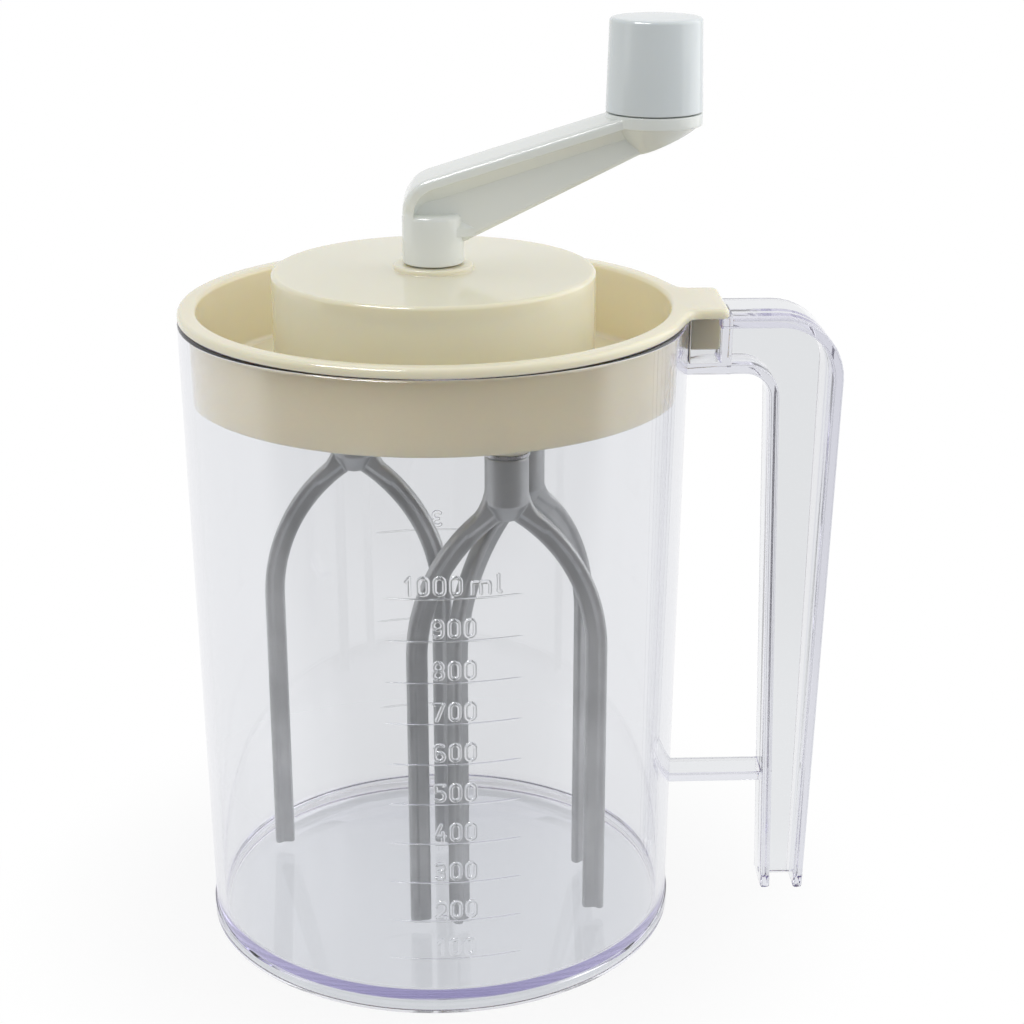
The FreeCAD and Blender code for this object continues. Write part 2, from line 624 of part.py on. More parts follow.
def make_crank():
    """T-shaped arm: flange on top, deep web below, hub at one end and the knob's disc at the other."""
    hub = revolved([(0, crank_z), (HUB_R, crank_z), (HUB_R, crank_z + HUB_H, -HUB_EDGE), (0, crank_z + HUB_H)])
    top = crank_z + ARM_TOP
    back = -HUB_R + 0.2
    end = CRANK_LEN + KNOB_R
    back_top = top + back * arm_slope
    end_top = top + CRANK_LEN * arm_slope
    foot = crank_z + ARM_FOOT
    ring_low = ring_z - RING_T
    under = (ring_low - foot) / (end - 0.4 - HUB_R)
    t = ARM_T
    flange = slab_y([(back, crank_z + HUB_H - 3), (back, back_top, ARM_BEND), (CRANK_LEN, end_top),
                     (CRANK_LEN, end_top - t), (back + t, back_top - t, ARM_BEND - t),
                     (back + t, crank_z + HUB_H - 3)], ARM_W)
    sides = slab_x([(-HUB_R, crank_z + 4), (HUB_R, crank_z + 4), (ARM_W / 2, top - ARM_BEND),
                    (ARM_W / 2, top + 40), (-ARM_W / 2, top + 40), (-ARM_W / 2, top - ARM_BEND)], back - 1, end + 20)
    flange = flange.common(sides)
    web = slab_y([(back + 1, foot), (HUB_R, foot), (end - 0.4, ring_low), (end - 0.4, ring_z - 0.5),
                  (CRANK_LEN, end_top - t / 2), (back + 1, back_top - t / 2, ARM_BEND - 1)], ARM_WEB)
    arm = joined([flange, web])
    corners = [edge for edge in arm.Edges if lies_between(edge, flange, ARM_WEB / 2)]
    arm = arm.makeChamfer(ARM_BEVEL, corners)
    ring = rod(KNOB_R, ring_low, ring_z, (CRANK_LEN, 0))
    cone = Part.makeCone(ARM_WEB / 2 + 0.6, KNOB_R - 0.9, BOSS_CONE, Vector(CRANK_LEN, 0, ring_low - BOSS_CONE))
    beyond = end + 5
    under_arm = slab_y([(0, crank_z), (beyond, crank_z), (beyond, foot + (beyond - HUB_R) * under), (HUB_R, foot)],
                       ARM_W * 2)
    body = joined([arm, cone]).cut(block(0, beyond, -ARM_W, ARM_W, ring_z, ring_z + ARM_TOP))
    body = body.cut(under_arm.cut(rod(HUB_R, crank_z - 1, crank_z + HUB_H)))
    body = joined([body, hub, ring])
    half = SQUARE / 2 + FIT_CLEAR
    deep = square_top + 0.5
    bore = rod(SHAFT_R + FIT_CLEAR, crank_z - 1, deep).common(block(-half, half, -half, half, crank_z - 1, deep))
    mouth = rod(SHAFT_R + FIT_CLEAR, crank_z - 1, crank_z + 0.6)
    pin_hole = rod(PIN_R + FIT_CLEAR, ring_low - PIN_ROOT, ring_z + 1, (CRANK_LEN, 0))
    return body.cut(bore).cut(mouth).cut(pin_hole)


def pin_top_z():
    return knob_z + SLEEVE_LEN + END_CLEAR + CLIP_T + 1.0


def make_knob_pin():
    low = ring_z - RING_T - PIN_ROOT
    pin = rod(PIN_R, low, pin_top_z(), (CRANK_LEN, 0))
    clip_z = pin_top_z() - 1.0 - CLIP_T
    return pin.cut(tube(PIN_R + 1, PIN_R - 0.7, clip_z, clip_z + CLIP_T, (CRANK_LEN, 0)))


def make_knob_clip():
    ring = clip_ring(PIN_R + 1.5, PIN_R - 0.7 + FIT_CLEAR, pin_top_z() - 1.0 - CLIP_T)
    ring.translate(Vector(CRANK_LEN, 0, 0))
    return ring


def make_knob_sleeve():
    """Plain bearing for the knob, pressed up into it from below."""
    at = (CRANK_LEN, 0)
    inner = PIN_R + RUN_CLEAR
    sleeve = tube(inner + SLEEVE_WALL, inner, knob_z, knob_z + SLEEVE_LEN, at)
    flange = tube(knob_top_r - KNOB_WALL + 0.3, inner, knob_z, knob_z + SLEEVE_FLANGE, at)
    return joined([sleeve, flange])


def make_knob():
    """Hollow knob: a tapered shell with a crowned top, and a tube inside that grips the sleeve."""
    grip = PIN_R + RUN_CLEAR + SLEEVE_WALL
    inside = knob_top_r - KNOB_WALL + 0.4
    roof = KNOB_H - KNOB_WALL
    outline = [(0, KNOB_H), (knob_top_r, KNOB_H, -KNOB_EDGE), (KNOB_R, 0), (inside, 0), (inside, roof),
               (grip + 1.6, roof), (grip + 1.6, SLEEVE_FLANGE), (grip, SLEEVE_FLANGE), (grip, roof), (0, roof)]
    shell = revolved(outline)
    shell.translate(Vector(CRANK_LEN, 0, knob_z))
    return shell


# ---- build every piece ----
right_pinion = mesh_turn(DRIVE_TEETH, 0, PINION_TEETH, LEFT_ANGLE + 180)
left_pinion = mesh_turn(DRIVE_TEETH, 0, PINION_TEETH, LEFT_ANGLE)
front_pinion = mesh_turn(PINION_TEETH, right_pinion, PINION_TEETH, FRONT_TURN)
BEATERS = {
    "left": (left_at, LEFT_PLANE, left_pinion),
    "right": (right_at, RIGHT_PLANE, right_pinion),
    "front": (front_at, FRONT_PLANE, front_pinion),
}

save(make_jar(), "jar")
save(make_lid(), "lid")
save(make_cover(), "gearbox_cover")
save(make_screws(), "cover_screws")
save(make_bush(), "shaft_bush")
save(make_crank(), "crank_arm")
save(make_shaft(), "drive_shaft")
save(make_drive_gear(), "drive_gear")
save(make_gear_washer(), "gear_washer")
save(make_gear_clip(), "gear_clip")
save(make_knob_pin(), "knob_pin")
save(make_knob_clip(), "knob_clip")
save(make_knob_sleeve(), "knob_sleeve")
save(make_knob(), "knob")

fork = make_fork()
pinion_clip = clip_ring(JOURNAL_R + 1.4, JOURNAL_R - 0.8 + FIT_CLEAR, clip_z_of_pinion())
beater_washer = tube(stem_r + 0.3, JOURNAL_R + 0.1, shoulder_z + END_CLEAR, shoulder_z + END_CLEAR + WASHER_T)
for side, (at, plane, teeth_turn) in BEATERS.items():
    save(spun(fork, plane, at), "beater_" + side)
    save(spun(make_pinion(teeth_turn - plane), plane, at), "pinion_" + side)
    save(spun(pinion_clip, plane, at), "pinion_clip_" + side)
    save(spun(beater_washer, plane, at), "beater_washer_" + side)
print("beater axes", left_at, right_at, front_at)
print("fork planes", LEFT_PLANE, RIGHT_PLANE, FRONT_PLANE, "reach", fork_reach, "arch", arch_z, "drum", drum_r)
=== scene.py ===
# %% [markdown]
# # A clear mixing jar with a crank on its lid
# The object is a kitchen mixer: a clear measuring jar, an ivory lid with a gear drum, a crank with a
# turning knob, and three cast forks that the crank spins. An engineering model of it already exists, with
# true sizes, joints and fits. This lesson dresses that model. Pieces with the soft edges of a moulding are
# built again in the same place and size. The gear train keeps its exact meshes and only gets a finish.
# Lengths are in millimetres, and MM turns one into Blender's metres.

import math

import bmesh
import bpy
from mathutils import Matrix, Vector


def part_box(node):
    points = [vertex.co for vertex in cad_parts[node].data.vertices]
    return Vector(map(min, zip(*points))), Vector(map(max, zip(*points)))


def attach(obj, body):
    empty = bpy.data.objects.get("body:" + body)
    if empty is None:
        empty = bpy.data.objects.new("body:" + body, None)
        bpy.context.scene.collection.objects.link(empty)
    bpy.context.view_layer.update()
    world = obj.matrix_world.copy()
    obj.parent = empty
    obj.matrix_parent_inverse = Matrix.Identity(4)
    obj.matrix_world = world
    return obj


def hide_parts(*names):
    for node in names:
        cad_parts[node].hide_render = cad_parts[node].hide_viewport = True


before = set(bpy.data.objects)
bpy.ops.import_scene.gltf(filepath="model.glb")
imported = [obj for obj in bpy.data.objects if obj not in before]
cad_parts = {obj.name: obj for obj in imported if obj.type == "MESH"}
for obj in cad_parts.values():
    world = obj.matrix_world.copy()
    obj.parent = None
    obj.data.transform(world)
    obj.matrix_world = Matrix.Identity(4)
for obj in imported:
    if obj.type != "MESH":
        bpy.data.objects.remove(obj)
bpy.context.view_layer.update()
MM = 0.001

# %% [markdown]
# ## Sizes that the frame gives
# A dressed piece has to sit exactly where its engineering twin sits. The sizes could be typed in again, but
# a typed size goes stale when the model changes. So every size that a box of the frame can tell is read.


# %% Read sizes from the frame
def box_mm(node):
    """Low and high corner of a node's box, in millimetres."""
    low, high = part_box(node)
    return low / MM, high / MM


jar_low, jar_high = box_mm("jar")
lid_low, lid_high = box_mm("lid")
crank_low, crank_high = box_mm("crank_arm")
knob_low, knob_high = box_mm("knob")
rim_r = -jar_low.x
rim_z = jar_high.z
skirt_z = lid_low.z
collar_z = lid_high.z
crank_z = crank_low.z
print("rim radius", round(rim_r, 2), "rim height", round(rim_z, 2), "crank from", round(crank_z, 2))

# %% [markdown]
# ## Corners with a radius
# A mould leaves a small radius on every edge, and that radius is what catches the light. Blender's bevel
# modifier could add it afterwards, but it struggles where joined parts meet at odd angles. Here the radius
# belongs to the outline: a corner is (u, v) or (u, v, radius), and a radius becomes a short arc.

# %% Round the corners of an outline
ARC_STEP = math.radians(10)


def rounded(corners, closed=True):
    """Points along corners (u, v) or (u, v, radius), with an arc at each corner that has a radius."""
    points = []
    last = len(corners) - 1
    for i, corner in enumerate(corners):
        here = Vector(corner[:2])
        radius = corner[2] if len(corner) > 2 else 0.0
        if radius == 0 or (not closed and i in (0, last)):
            points.append(here)
            continue
        back = (Vector(corners[i - 1][:2]) - here).normalized()
        ahead = (Vector(corners[(i + 1) % len(corners)][:2]) - here).normalized()
        half = back.angle(ahead) / 2
        centre = here + (back + ahead).normalized() * (radius / math.sin(half))
        start = here + back * (radius / math.tan(half)) - centre
        end = here + ahead * (radius / math.tan(half)) - centre
        turn = math.atan2(start.x * end.y - start.y * end.x, start.dot(end))
        count = max(2, math.ceil(abs(turn) / ARC_STEP))
        for k in range(count + 1):
            cos, sin = math.cos(turn * k / count), math.sin(turn * k / count)
            points.append(centre + Vector((start.x * cos - start.y * sin, start.x * sin + start.y * cos)))
    return points


soft_square = rounded([(0, 0, 1), (5, 0, 1), (5, 5, 1), (0, 5, 1)])
print("a square with four soft corners has", len(soft_square), "points")

# %% [markdown]
# ## Working on an outline
# Three small tools change an outline. One moves it inwards, which is how a rounded edge is stepped. One
# makes it run anticlockwise, so that inwards is always to the left. One adds points to long runs, so that
# a straight run can later be wrapped round a wall.


# %% Inset, turn and spread an outline
def inset(outline, amount):
    """The closed outline, moved inwards by an amount. The outline runs anticlockwise."""
    moved = []
    for i, here in enumerate(outline):
        into = (here - outline[i - 1]).normalized()
        out = (outline[(i + 1) % len(outline)] - here).normalized()
        normal = Vector((-into.y - out.y, into.x + out.x)).normalized()
        stretch = max(0.35, normal.dot(Vector((-out.y, out.x))))
        moved.append(here + normal * (amount / stretch))
    return moved


def anticlockwise(outline):
    """The outline, turned round if it runs clockwise."""
    area = sum(a.x * b.y - b.x * a.y for a, b in zip(outline, outline[1:] + outline[:1]))
    return outline if area > 0 else outline[::-1]


def spread(line, step):
    """Adds points to the long runs of a line, so that none is longer than a step."""
    dense = [line[0]]
    for a, b in zip(line, line[1:]):
        count = max(1, math.ceil((b - a).length / step))
        dense += [a.lerp(b, k / count) for k in range(1, count + 1)]
    return dense


print("a 10 mm run in steps of 3 mm has", len(spread([Vector((0, 0)), Vector((10, 0))], 3)), "points")

# %% [markdown]
# ## One skin for every shape
# Turned, swept and flat parts all come down to the same thing: rings of points with quads between them.
# Modifiers such as Screw and Solidify could make some of them, but one function that skins rings gives full
# control over each edge and always leaves a closed solid, which the joins later on depend on.


# %% Skin rings with quads
def add_piece(name, mesh):
    """An object in the scene that holds a mesh."""
    piece = bpy.data.objects.new(name, mesh)
    bpy.context.scene.collection.objects.link(piece)
    return piece


def skin(name, rings, loop=False):
    """Quads between rings of equal length, given in millimetres. Without loop, both ends are capped."""
    bm = bmesh.new()
    grid = [[bm.verts.new(Vector(point) * MM) for point in ring] for ring in rings]
    pairs = list(zip(grid, grid[1:]))
    if loop:
        pairs.append((grid[-1], grid[0]))
    for low, high in pairs:
        for i in range(len(low)):
            bm.faces.new((low[i - 1], low[i], high[i], high[i - 1]))
    if not loop:
        bm.faces.new(grid[0])
        bm.faces.new(grid[-1])
    bmesh.ops.remove_doubles(bm, verts=bm.verts, dist=1e-4 * MM)
    bmesh.ops.recalc_face_normals(bm, faces=bm.faces)
    mesh = bpy.data.meshes.new(name)
    bm.to_mesh(mesh)
    bm.free()
    return add_piece(name, mesh)


print("skin is ready, and", len(bpy.data.meshes), "meshes came with the frame")

# %% [markdown]
# ## Four ways to place the rings
# A lathe turns an outline about an upright axis, as a round mould is turned. A sweep carries a section
# along a line, which suits a flange that bends. A slab thickens a side view, which suits a web. A brick is
# a slab with a rectangular side view. Each of them steps its edges round instead of leaving them sharp.

# %% Lathe, sweep, slab and brick
EDGE_STEPS = 4


def lathe(name, outline, steps=192, at=(0, 0)):
    """A closed (radius, height) outline, turned about an upright axis."""
    rings = []
    for k in range(steps):
        cos, sin = math.cos(2 * math.pi * k / steps), math.sin(2 * math.pi * k / steps)
        rings.append([(at[0] + p.x * cos, at[1] + p.x * sin, p.y) for p in outline])
    return skin(name, rings, loop=True)


def sweep(name, path, section, end_round=0.0):
    """A strip along a path in the XZ plane. section(point) gives its outline as (across, y) points.

    With end_round, the strip's last end is drawn in by 0.5 over that length."""
    rings = []
    for i, here in enumerate(path):
        ahead = path[min(i + 1, len(path) - 1)]
        back = path[max(i - 1, 0)]
        along = (ahead - back).normalized()
        across = Vector((-along.y, along.x))
        rings.append([(here.x + across.x * n, y, here.y + across.y * n) for n, y in section(here)])
    if end_round > 0:
        outline = [Vector(point) for point in section(here)]
        for k in range(1, EDGE_STEPS + 1):
            angle = math.pi / 2 * k / EDGE_STEPS
            tip = here + along * (end_round * math.sin(angle))
            drawn_in = inset(outline, 0.5 * (1 - math.cos(angle)))
            rings.append([(tip.x + across.x * p.x, p.y, tip.y + across.y * p.x) for p in drawn_in])
    return skin(name, rings)


def slab(name, outline, half, edge):
    """An XZ outline, thickened to both sides of the XZ plane, with rounded edges."""
    outline = anticlockwise(outline)
    rings = []
    for side in (-1, 1):
        for k in range(EDGE_STEPS + 1):
            angle = math.pi / 2 * (k if side < 0 else EDGE_STEPS - k) / EDGE_STEPS
            y = side * (half - edge * (1 - math.cos(angle)))
            rings.append([(p.x, y, p.y) for p in inset(outline, edge * (1 - math.sin(angle)))])
    return skin(name, rings)


def brick(name, low, high, edge=0.25):
    """A box between two corners, with rounded edges."""
    left, front, bottom = low
    right, back, top = high
    corners = [(left, bottom, edge), (right, bottom, edge), (right, top, edge), (left, top, edge)]
    piece = slab(name, rounded(corners), (back - front) / 2, edge)
    piece.data.transform(Matrix.Translation(Vector((0, (back + front) / 2, 0)) * MM))
    return piece


print("an edge is stepped round in", EDGE_STEPS, "bands")

# %% [markdown]
# ## Joining, shading and placing
# A moulding is one skin, with no walls left inside it. In clear plastic such a wall would show. So parts
# that belong to one moulding are joined with the Boolean modifier, whose Manifold solver is quick and
# keeps closed solids closed. Then the faces are shaded smooth, except where they meet at a real corner.


# %% Join, smooth and soften
CRISP_ANGLE = 32


def settle(piece):
    """Writes what the modifiers make into the mesh."""
    bpy.context.view_layer.update()
    seen = piece.evaluated_get(bpy.context.evaluated_depsgraph_get())
    mesh = bpy.data.meshes.new_from_object(seen)
    piece.modifiers.clear()
    piece.data = mesh
    return piece


def join_up(base, extras, operation="UNION"):
    """One closed solid from a base and extras, which are used up."""
    for extra in extras:
        cut = base.modifiers.new("join", "BOOLEAN")
        cut.operation = operation
        cut.solver = "MANIFOLD"
        cut.object = extra
    settle(base)
    for extra in extras:
        bpy.data.objects.remove(extra)
    print(base.name, operation.lower(), "faces", len(base.data.polygons))
    return base


def smooth(piece):
    """Smooth shading, kept crisp where faces meet at more than CRISP_ANGLE."""
    piece.data.shade_smooth()
    piece.data.set_sharp_from_angle(angle=math.radians(CRISP_ANGLE))
    return piece


def soften(piece, voxel, rounds):
    """Remeshes a piece evenly and relaxes it, so that joints between its parts become soft fillets."""
    remesh = piece.modifiers.new("even", "REMESH")
    remesh.mode = "VOXEL"
    remesh.voxel_size = voxel * MM
    relax = piece.modifiers.new("relax", "SMOOTH")
    relax.factor = 0.5
    relax.iterations = rounds
    settle(piece)
    piece.data.shade_smooth()
    return piece


print("corners stay crisp above", CRISP_ANGLE, "degrees")

# %% [markdown]
# ## Finish and body
# A piece needs two things before it is part of the model: a finish, and a body of the frame to move with.
# One call does both, so that no piece is forgotten when the crank turns or the lid is lifted.


# %% Give a piece its finish and its body
def put_on(piece, body, material, stands_for=()):
    """Gives a piece its finish, lets it move with a body, and hides the nodes that it stands for."""
    piece.data.materials.clear()
    piece.data.materials.append(material)
    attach(piece, body)
    if stands_for:
        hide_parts(*stands_for)
    print(piece.name, "rides on", body, "with", len(piece.data.polygons), "faces")


# %% [markdown]
# ## Finishes
# A finish is a node tree round one Principled shader. A flat colour would look like a drawing, because a
# real moulding is never perfectly even. So each finish mixes two close tones with slow noise, lets its
# roughness drift, and adds a faint bump at the scale of the real surface. These tools make those parts.


# %% Start a finish
def start_finish(name):
    """A new material with one Principled shader on its output."""
    material = bpy.data.materials.new(name)
    material.use_nodes = True
    tree = material.node_tree
    tree.nodes.clear()
    output = tree.nodes.new("ShaderNodeOutputMaterial")
    shader = tree.nodes.new("ShaderNodeBsdfPrincipled")
    tree.links.new(shader.outputs[0], output.inputs["Surface"])
    return material, tree, shader, output


def noise(tree, scale, detail=2.0):
    """Slow random patches that move with the piece."""
    place = tree.nodes.new("ShaderNodeTexCoord")
    texture = tree.nodes.new("ShaderNodeTexNoise")
    texture.inputs["Scale"].default_value = scale
    texture.inputs["Detail"].default_value = detail
    tree.links.new(place.outputs["Object"], texture.inputs["Vector"])
    return texture.outputs["Fac"]


def drift(tree, source, low, high):
    """Maps a 0 to 1 pattern to a range of values."""
    node = tree.nodes.new("ShaderNodeMapRange")
    node.inputs["From Min"].default_value = 0.3
    node.inputs["From Max"].default_value = 0.7
    node.inputs["To Min"].default_value = low
    node.inputs["To Max"].default_value = high
    tree.links.new(source, node.inputs["Value"])
    return node.outputs["Result"]


def two_tones(tree, source, dark, light):
    """A colour that wanders between two close tones."""
    node = tree.nodes.new("ShaderNodeMix")
    node.data_type = "RGBA"
    node.inputs["A"].default_value = (*dark, 1)
    node.inputs["B"].default_value = (*light, 1)
    tree.links.new(drift(tree, source, 0, 1), node.inputs["Factor"])
    return node.outputs["Result"]


def ripple(tree, shader, source, strength, depth):
    """A faint bump on a shader, with its depth in millimetres."""
    node = tree.nodes.new("ShaderNodeBump")
    node.inputs["Strength"].default_value = strength
    node.inputs["Distance"].default_value = depth * MM
    tree.links.new(source, node.inputs["Height"])
    tree.links.new(node.outputs["Normal"], shader.inputs["Normal"])


print("a noise scale of 20 has patches of about", round(1 / 20 / MM), "mm")

# %% [markdown]
# ### Gloss plastic
# The lid and the crank are the same kind of glossy plastic in two colours, straight from a polished mould.
# The crank's tone is set warmer and lighter than the knob's. That difference is painted light: it stands
# for the warm light that the ivory lid throws up onto the arm.
# A diffuse colour with a coat would do for thick walls, but these walls are thin and light travels through
# them. Subsurface scattering carries that light, and it makes the shaded inside of the lid glow warm.


# %% Gloss plastic
GLOSS_IOR = 1.5


def gloss_plastic(name, dark, light, rough, glow, glow_reach, glow_tint):
    """Gloss plastic in which a share of the light, its glow, travels some millimetres under the skin."""
    material, tree, shader, _ = start_finish(name)
    tree.links.new(two_tones(tree, noise(tree, 18), dark, light), shader.inputs["Base Color"])
    tree.links.new(drift(tree, noise(tree, 90, 3), rough * 0.85, rough * 1.2), shader.inputs["Roughness"])
    shader.inputs["IOR"].default_value = GLOSS_IOR
    shader.inputs["Subsurface Weight"].default_value = glow
    shader.inputs["Subsurface Radius"].default_value = glow_tint
    shader.inputs["Subsurface Scale"].default_value = glow_reach * MM
    ripple(tree, shader, noise(tree, 260, 1), 0.02, 0.05)
    return material


WARM_GLOW = (1.0, 0.8, 0.45)
PALE_GLOW = (1.0, 0.9, 0.7)
ivory = gloss_plastic("ivory_plastic", (0.80, 0.745, 0.57), (0.83, 0.775, 0.61), 0.09, 0.6, 3.5, WARM_GLOW)
# Warmer and lighter than the knob: painted bounce light from the ivory lid.
crank_white_painted_bounce = gloss_plastic(
    "crank_plastic", (0.76, 0.785, 0.745), (0.79, 0.81, 0.775), 0.07, 0.15, 2.0, PALE_GLOW)
knob_white = gloss_plastic(
    "knob_plastic", (0.69, 0.735, 0.74), (0.72, 0.76, 0.765), 0.09, 0.15, 2.0, PALE_GLOW)
print("gloss finishes:", ivory.name, crank_white_painted_bounce.name, knob_white.name)

# %% [markdown]
# ### Clear plastic
# The jar is clear styrene. It bends light and swallows a little of it on the way. Its violet tint is
# invisible through a thin wall and strong where the eye looks along the floor plate, so the tint has to be
# a volume: a coloured surface would tint everything alike. A bump would ripple the view of the forks, so
# only the polish drifts, by a hair. Lamps should reach the forks inside, so a ray that only asks for light
# passes straight through the wall.


# %% Clear plastic
SHADOW_TINT = (0.80, 0.80, 0.80)
CLEAR_IOR = 1.55


def clear_plastic(name, loss, keep):
    """Clear plastic that absorbs light in its depth: loss per metre of the colours it doesn't keep."""
    material, tree, shader, output = start_finish(name)
    shader.inputs["Base Color"].default_value = (1, 1, 1, 1)
    tree.links.new(drift(tree, noise(tree, 60), 0.0, 0.02), shader.inputs["Roughness"])
    shader.inputs["IOR"].default_value = CLEAR_IOR
    shader.inputs["Transmission Weight"].default_value = 1
    path = tree.nodes.new("ShaderNodeLightPath")
    clear = tree.nodes.new("ShaderNodeBsdfTransparent")
    clear.inputs["Color"].default_value = (*SHADOW_TINT, 1)
    blend = tree.nodes.new("ShaderNodeMixShader")
    tree.links.new(path.outputs["Is Shadow Ray"], blend.inputs["Fac"])
    tree.links.new(shader.outputs[0], blend.inputs[1])
    tree.links.new(clear.outputs[0], blend.inputs[2])
    tree.links.new(blend.outputs[0], output.inputs["Surface"])
    tint = tree.nodes.new("ShaderNodeVolumeAbsorption")
    tint.inputs["Color"].default_value = (*keep, 1)
    tint.inputs["Density"].default_value = loss
    tree.links.new(tint.outputs[0], output.inputs["Volume"])
    return material


VIOLET = (0.17, 0.09, 0.55)
LOSS = 9.0
crystal = clear_plastic("clear_plastic", LOSS, VIOLET)
print("share of green light left after 100 mm of plastic:", round(math.exp(-LOSS * (1 - VIOLET[1]) * 0.1), 2))

# %% [markdown]
# ### Cast metal
# The forks are cast and tumbled, which leaves them matte grey with a fine grain and slow patches. A shader
# that is all metal would only mirror the room and turn black where the room is dark. A quarter of matte
# grey under it stands for the dull skin of a casting, and a fine bump gives the grain.


# %% Cast metal
METAL_SHARE = 0.75


def cast_metal(name):
    """Dull grey casting with fine grain."""
    material, tree, shader, _ = start_finish(name)
    tones = two_tones(tree, noise(tree, 60, 4), (0.43, 0.44, 0.445), (0.57, 0.58, 0.585))
    tree.links.new(tones, shader.inputs["Base Color"])
    tree.links.new(drift(tree, noise(tree, 400, 3), 0.36, 0.50), shader.inputs["Roughness"])
    shader.inputs["Metallic"].default_value = METAL_SHARE
    ripple(tree, shader, noise(tree, 700, 3), 0.25, 0.08)
    return material


fork_metal = cast_metal("cast_metal")
print("fork finish:", fork_metal.name, "with a metal share of", METAL_SHARE)

# %% [markdown]
# ### Gears, bearings and steel
# The gear train hides in the drum and shows only from below or in a cutaway. It still gets what the real
# pieces are made of: a milky gear plastic, a greyer bearing plastic, and bright steel for pins and rings.


# %% Gear plastic, bearing plastic and steel
def plain_finish(name, dark, light, rough, metallic=0.0):
    """A simple moulded or turned finish for pieces inside the drum."""
    material, tree, shader, _ = start_finish(name)
    tree.links.new(two_tones(tree, noise(tree, 120, 3), dark, light), shader.inputs["Base Color"])
    tree.links.new(drift(tree, noise(tree, 500, 2), rough * 0.8, rough * 1.2), shader.inputs["Roughness"])
    shader.inputs["Metallic"].default_value = metallic
    ripple(tree, shader, noise(tree, 900, 2), 0.08, 0.03)
    return material


gear_plastic = plain_finish("gear_plastic", (0.70, 0.69, 0.65), (0.75, 0.74, 0.70), 0.42)
bearing_plastic = plain_finish("bearing_plastic", (0.60, 0.60, 0.58), (0.66, 0.66, 0.64), 0.38)
steel = plain_finish("steel", (0.50, 0.50, 0.51), (0.60, 0.60, 0.61), 0.28, 1.0)
print("inner finishes:", gear_plastic.name, bearing_plastic.name, steel.name)

# %% [markdown]
# ## The jar's body
# The jar is one clear moulding: a tapered wall on a foot ring, with a floor plate between them. A cylinder
# with a solidify modifier would miss the foot and the rounded inside corner, so its half section is drawn
# as an outline and turned, as the real mould was. It is turned in many steps, because each flat step of a
# clear wall bends the view a little, and a coarse wall would look striped.


# %% Turn the jar's body
FLAT_ANGLE = 1e-4


def merge_flat(piece):
    """Joins the faces that lie in one plane, so that a turned disc has no fan of thin triangles."""
    bm = bmesh.new()
    bm.from_mesh(piece.data)
    bmesh.ops.dissolve_limit(bm, angle_limit=FLAT_ANGLE, verts=bm.verts, edges=bm.edges)
    bm.to_mesh(piece.data)
    bm.free()
    return piece


WALL = 2.2
FOOT_R = 58.4
FOOT_H = 3.0
FOOT_W = 3.0
WALL_FOOT = FOOT_H + 0.5
FLOOR_Z = 5.1
PLATE_LOW = 1.9
WALL_LOW_R = 58.0
FOOT_EDGE = 0.4
FOOT_OUTER_EDGE = 0.35
LEDGE_EDGE = 0.3
RIM_OUTER_EDGE = 0.9
RIM_INNER_EDGE = 0.5
INSIDE_CORNER = 1.2
JAR_STEPS = 768


def jar_outer(z):
    """Radius of the wall's outer face at a height."""
    return WALL_LOW_R + (rim_r - WALL_LOW_R) * (z - FOOT_H) / (rim_z - FOOT_H)


def jar_inner(z):
    """Radius of the wall's inner face at a height."""
    share = (z - FLOOR_Z) / (rim_z - FLOOR_Z)
    return jar_outer(FLOOR_Z) - WALL + (rim_r - jar_outer(FLOOR_Z)) * share


jar_outline = rounded([
    (0, PLATE_LOW), (FOOT_R - FOOT_W, PLATE_LOW, FOOT_EDGE), (FOOT_R - FOOT_W, 0, FOOT_EDGE),
    (FOOT_R, 0, FOOT_OUTER_EDGE), (FOOT_R, FOOT_H, LEDGE_EDGE), (WALL_LOW_R, WALL_FOOT, LEDGE_EDGE),
    (rim_r, rim_z, RIM_OUTER_EDGE), (rim_r - WALL, rim_z, RIM_INNER_EDGE),
    (jar_inner(FLOOR_Z), FLOOR_Z, INSIDE_CORNER), (0, FLOOR_Z)])
jar = merge_flat(lathe("jar_body", jar_outline, JAR_STEPS))
print("floor plate", round(FLOOR_Z - PLATE_LOW, 1), "mm thick, wall", WALL, "mm")

# %% [markdown]
# ## The handle
# The handle is an I-beam bent into a hook: an outer and an inner flange, tied by a web. The outer flange
# narrows towards its foot, and both feet stand a little below the web with rounded ends. Each flange is a
# rounded strip swept along its line, because a curve with a bevel could not change its width on the way.

# %% Lines and strips of the handle
STRIP = 2.4
STRIP_EDGE = 0.6
ROOT_X = 67.9
RUN_Z = rim_z - 14.7
IN_X = rim_r + 19.3
IN_LEAN = 3.3
OUT_LEAN = 3.0
OUT_BEND = 15.0
IN_BEND = 6.0
END_Z = 1.2
END_ROUND = 1.0
WIDE_TOP = 21.0
WIDE_END = 12.0
WIDE_IN = 11.6
BURY = 1.0
out_x = jar_high.x
half_strip = STRIP / 2


def strip_section(width):
    """Rounded rectangle, STRIP thick, as (across, y) points."""
    y = width / 2
    corners = [(-half_strip, -y), (half_strip, -y), (half_strip, y), (-half_strip, y)]
    return [tuple(point) for point in rounded([(*corner, STRIP_EDGE) for corner in corners])]


def outer_width(here):
    """Width of the outer flange, which narrows towards its foot."""
    share = min(1.0, max(0.0, here.y / RUN_Z))
    return WIDE_END + (WIDE_TOP - WIDE_END) * share


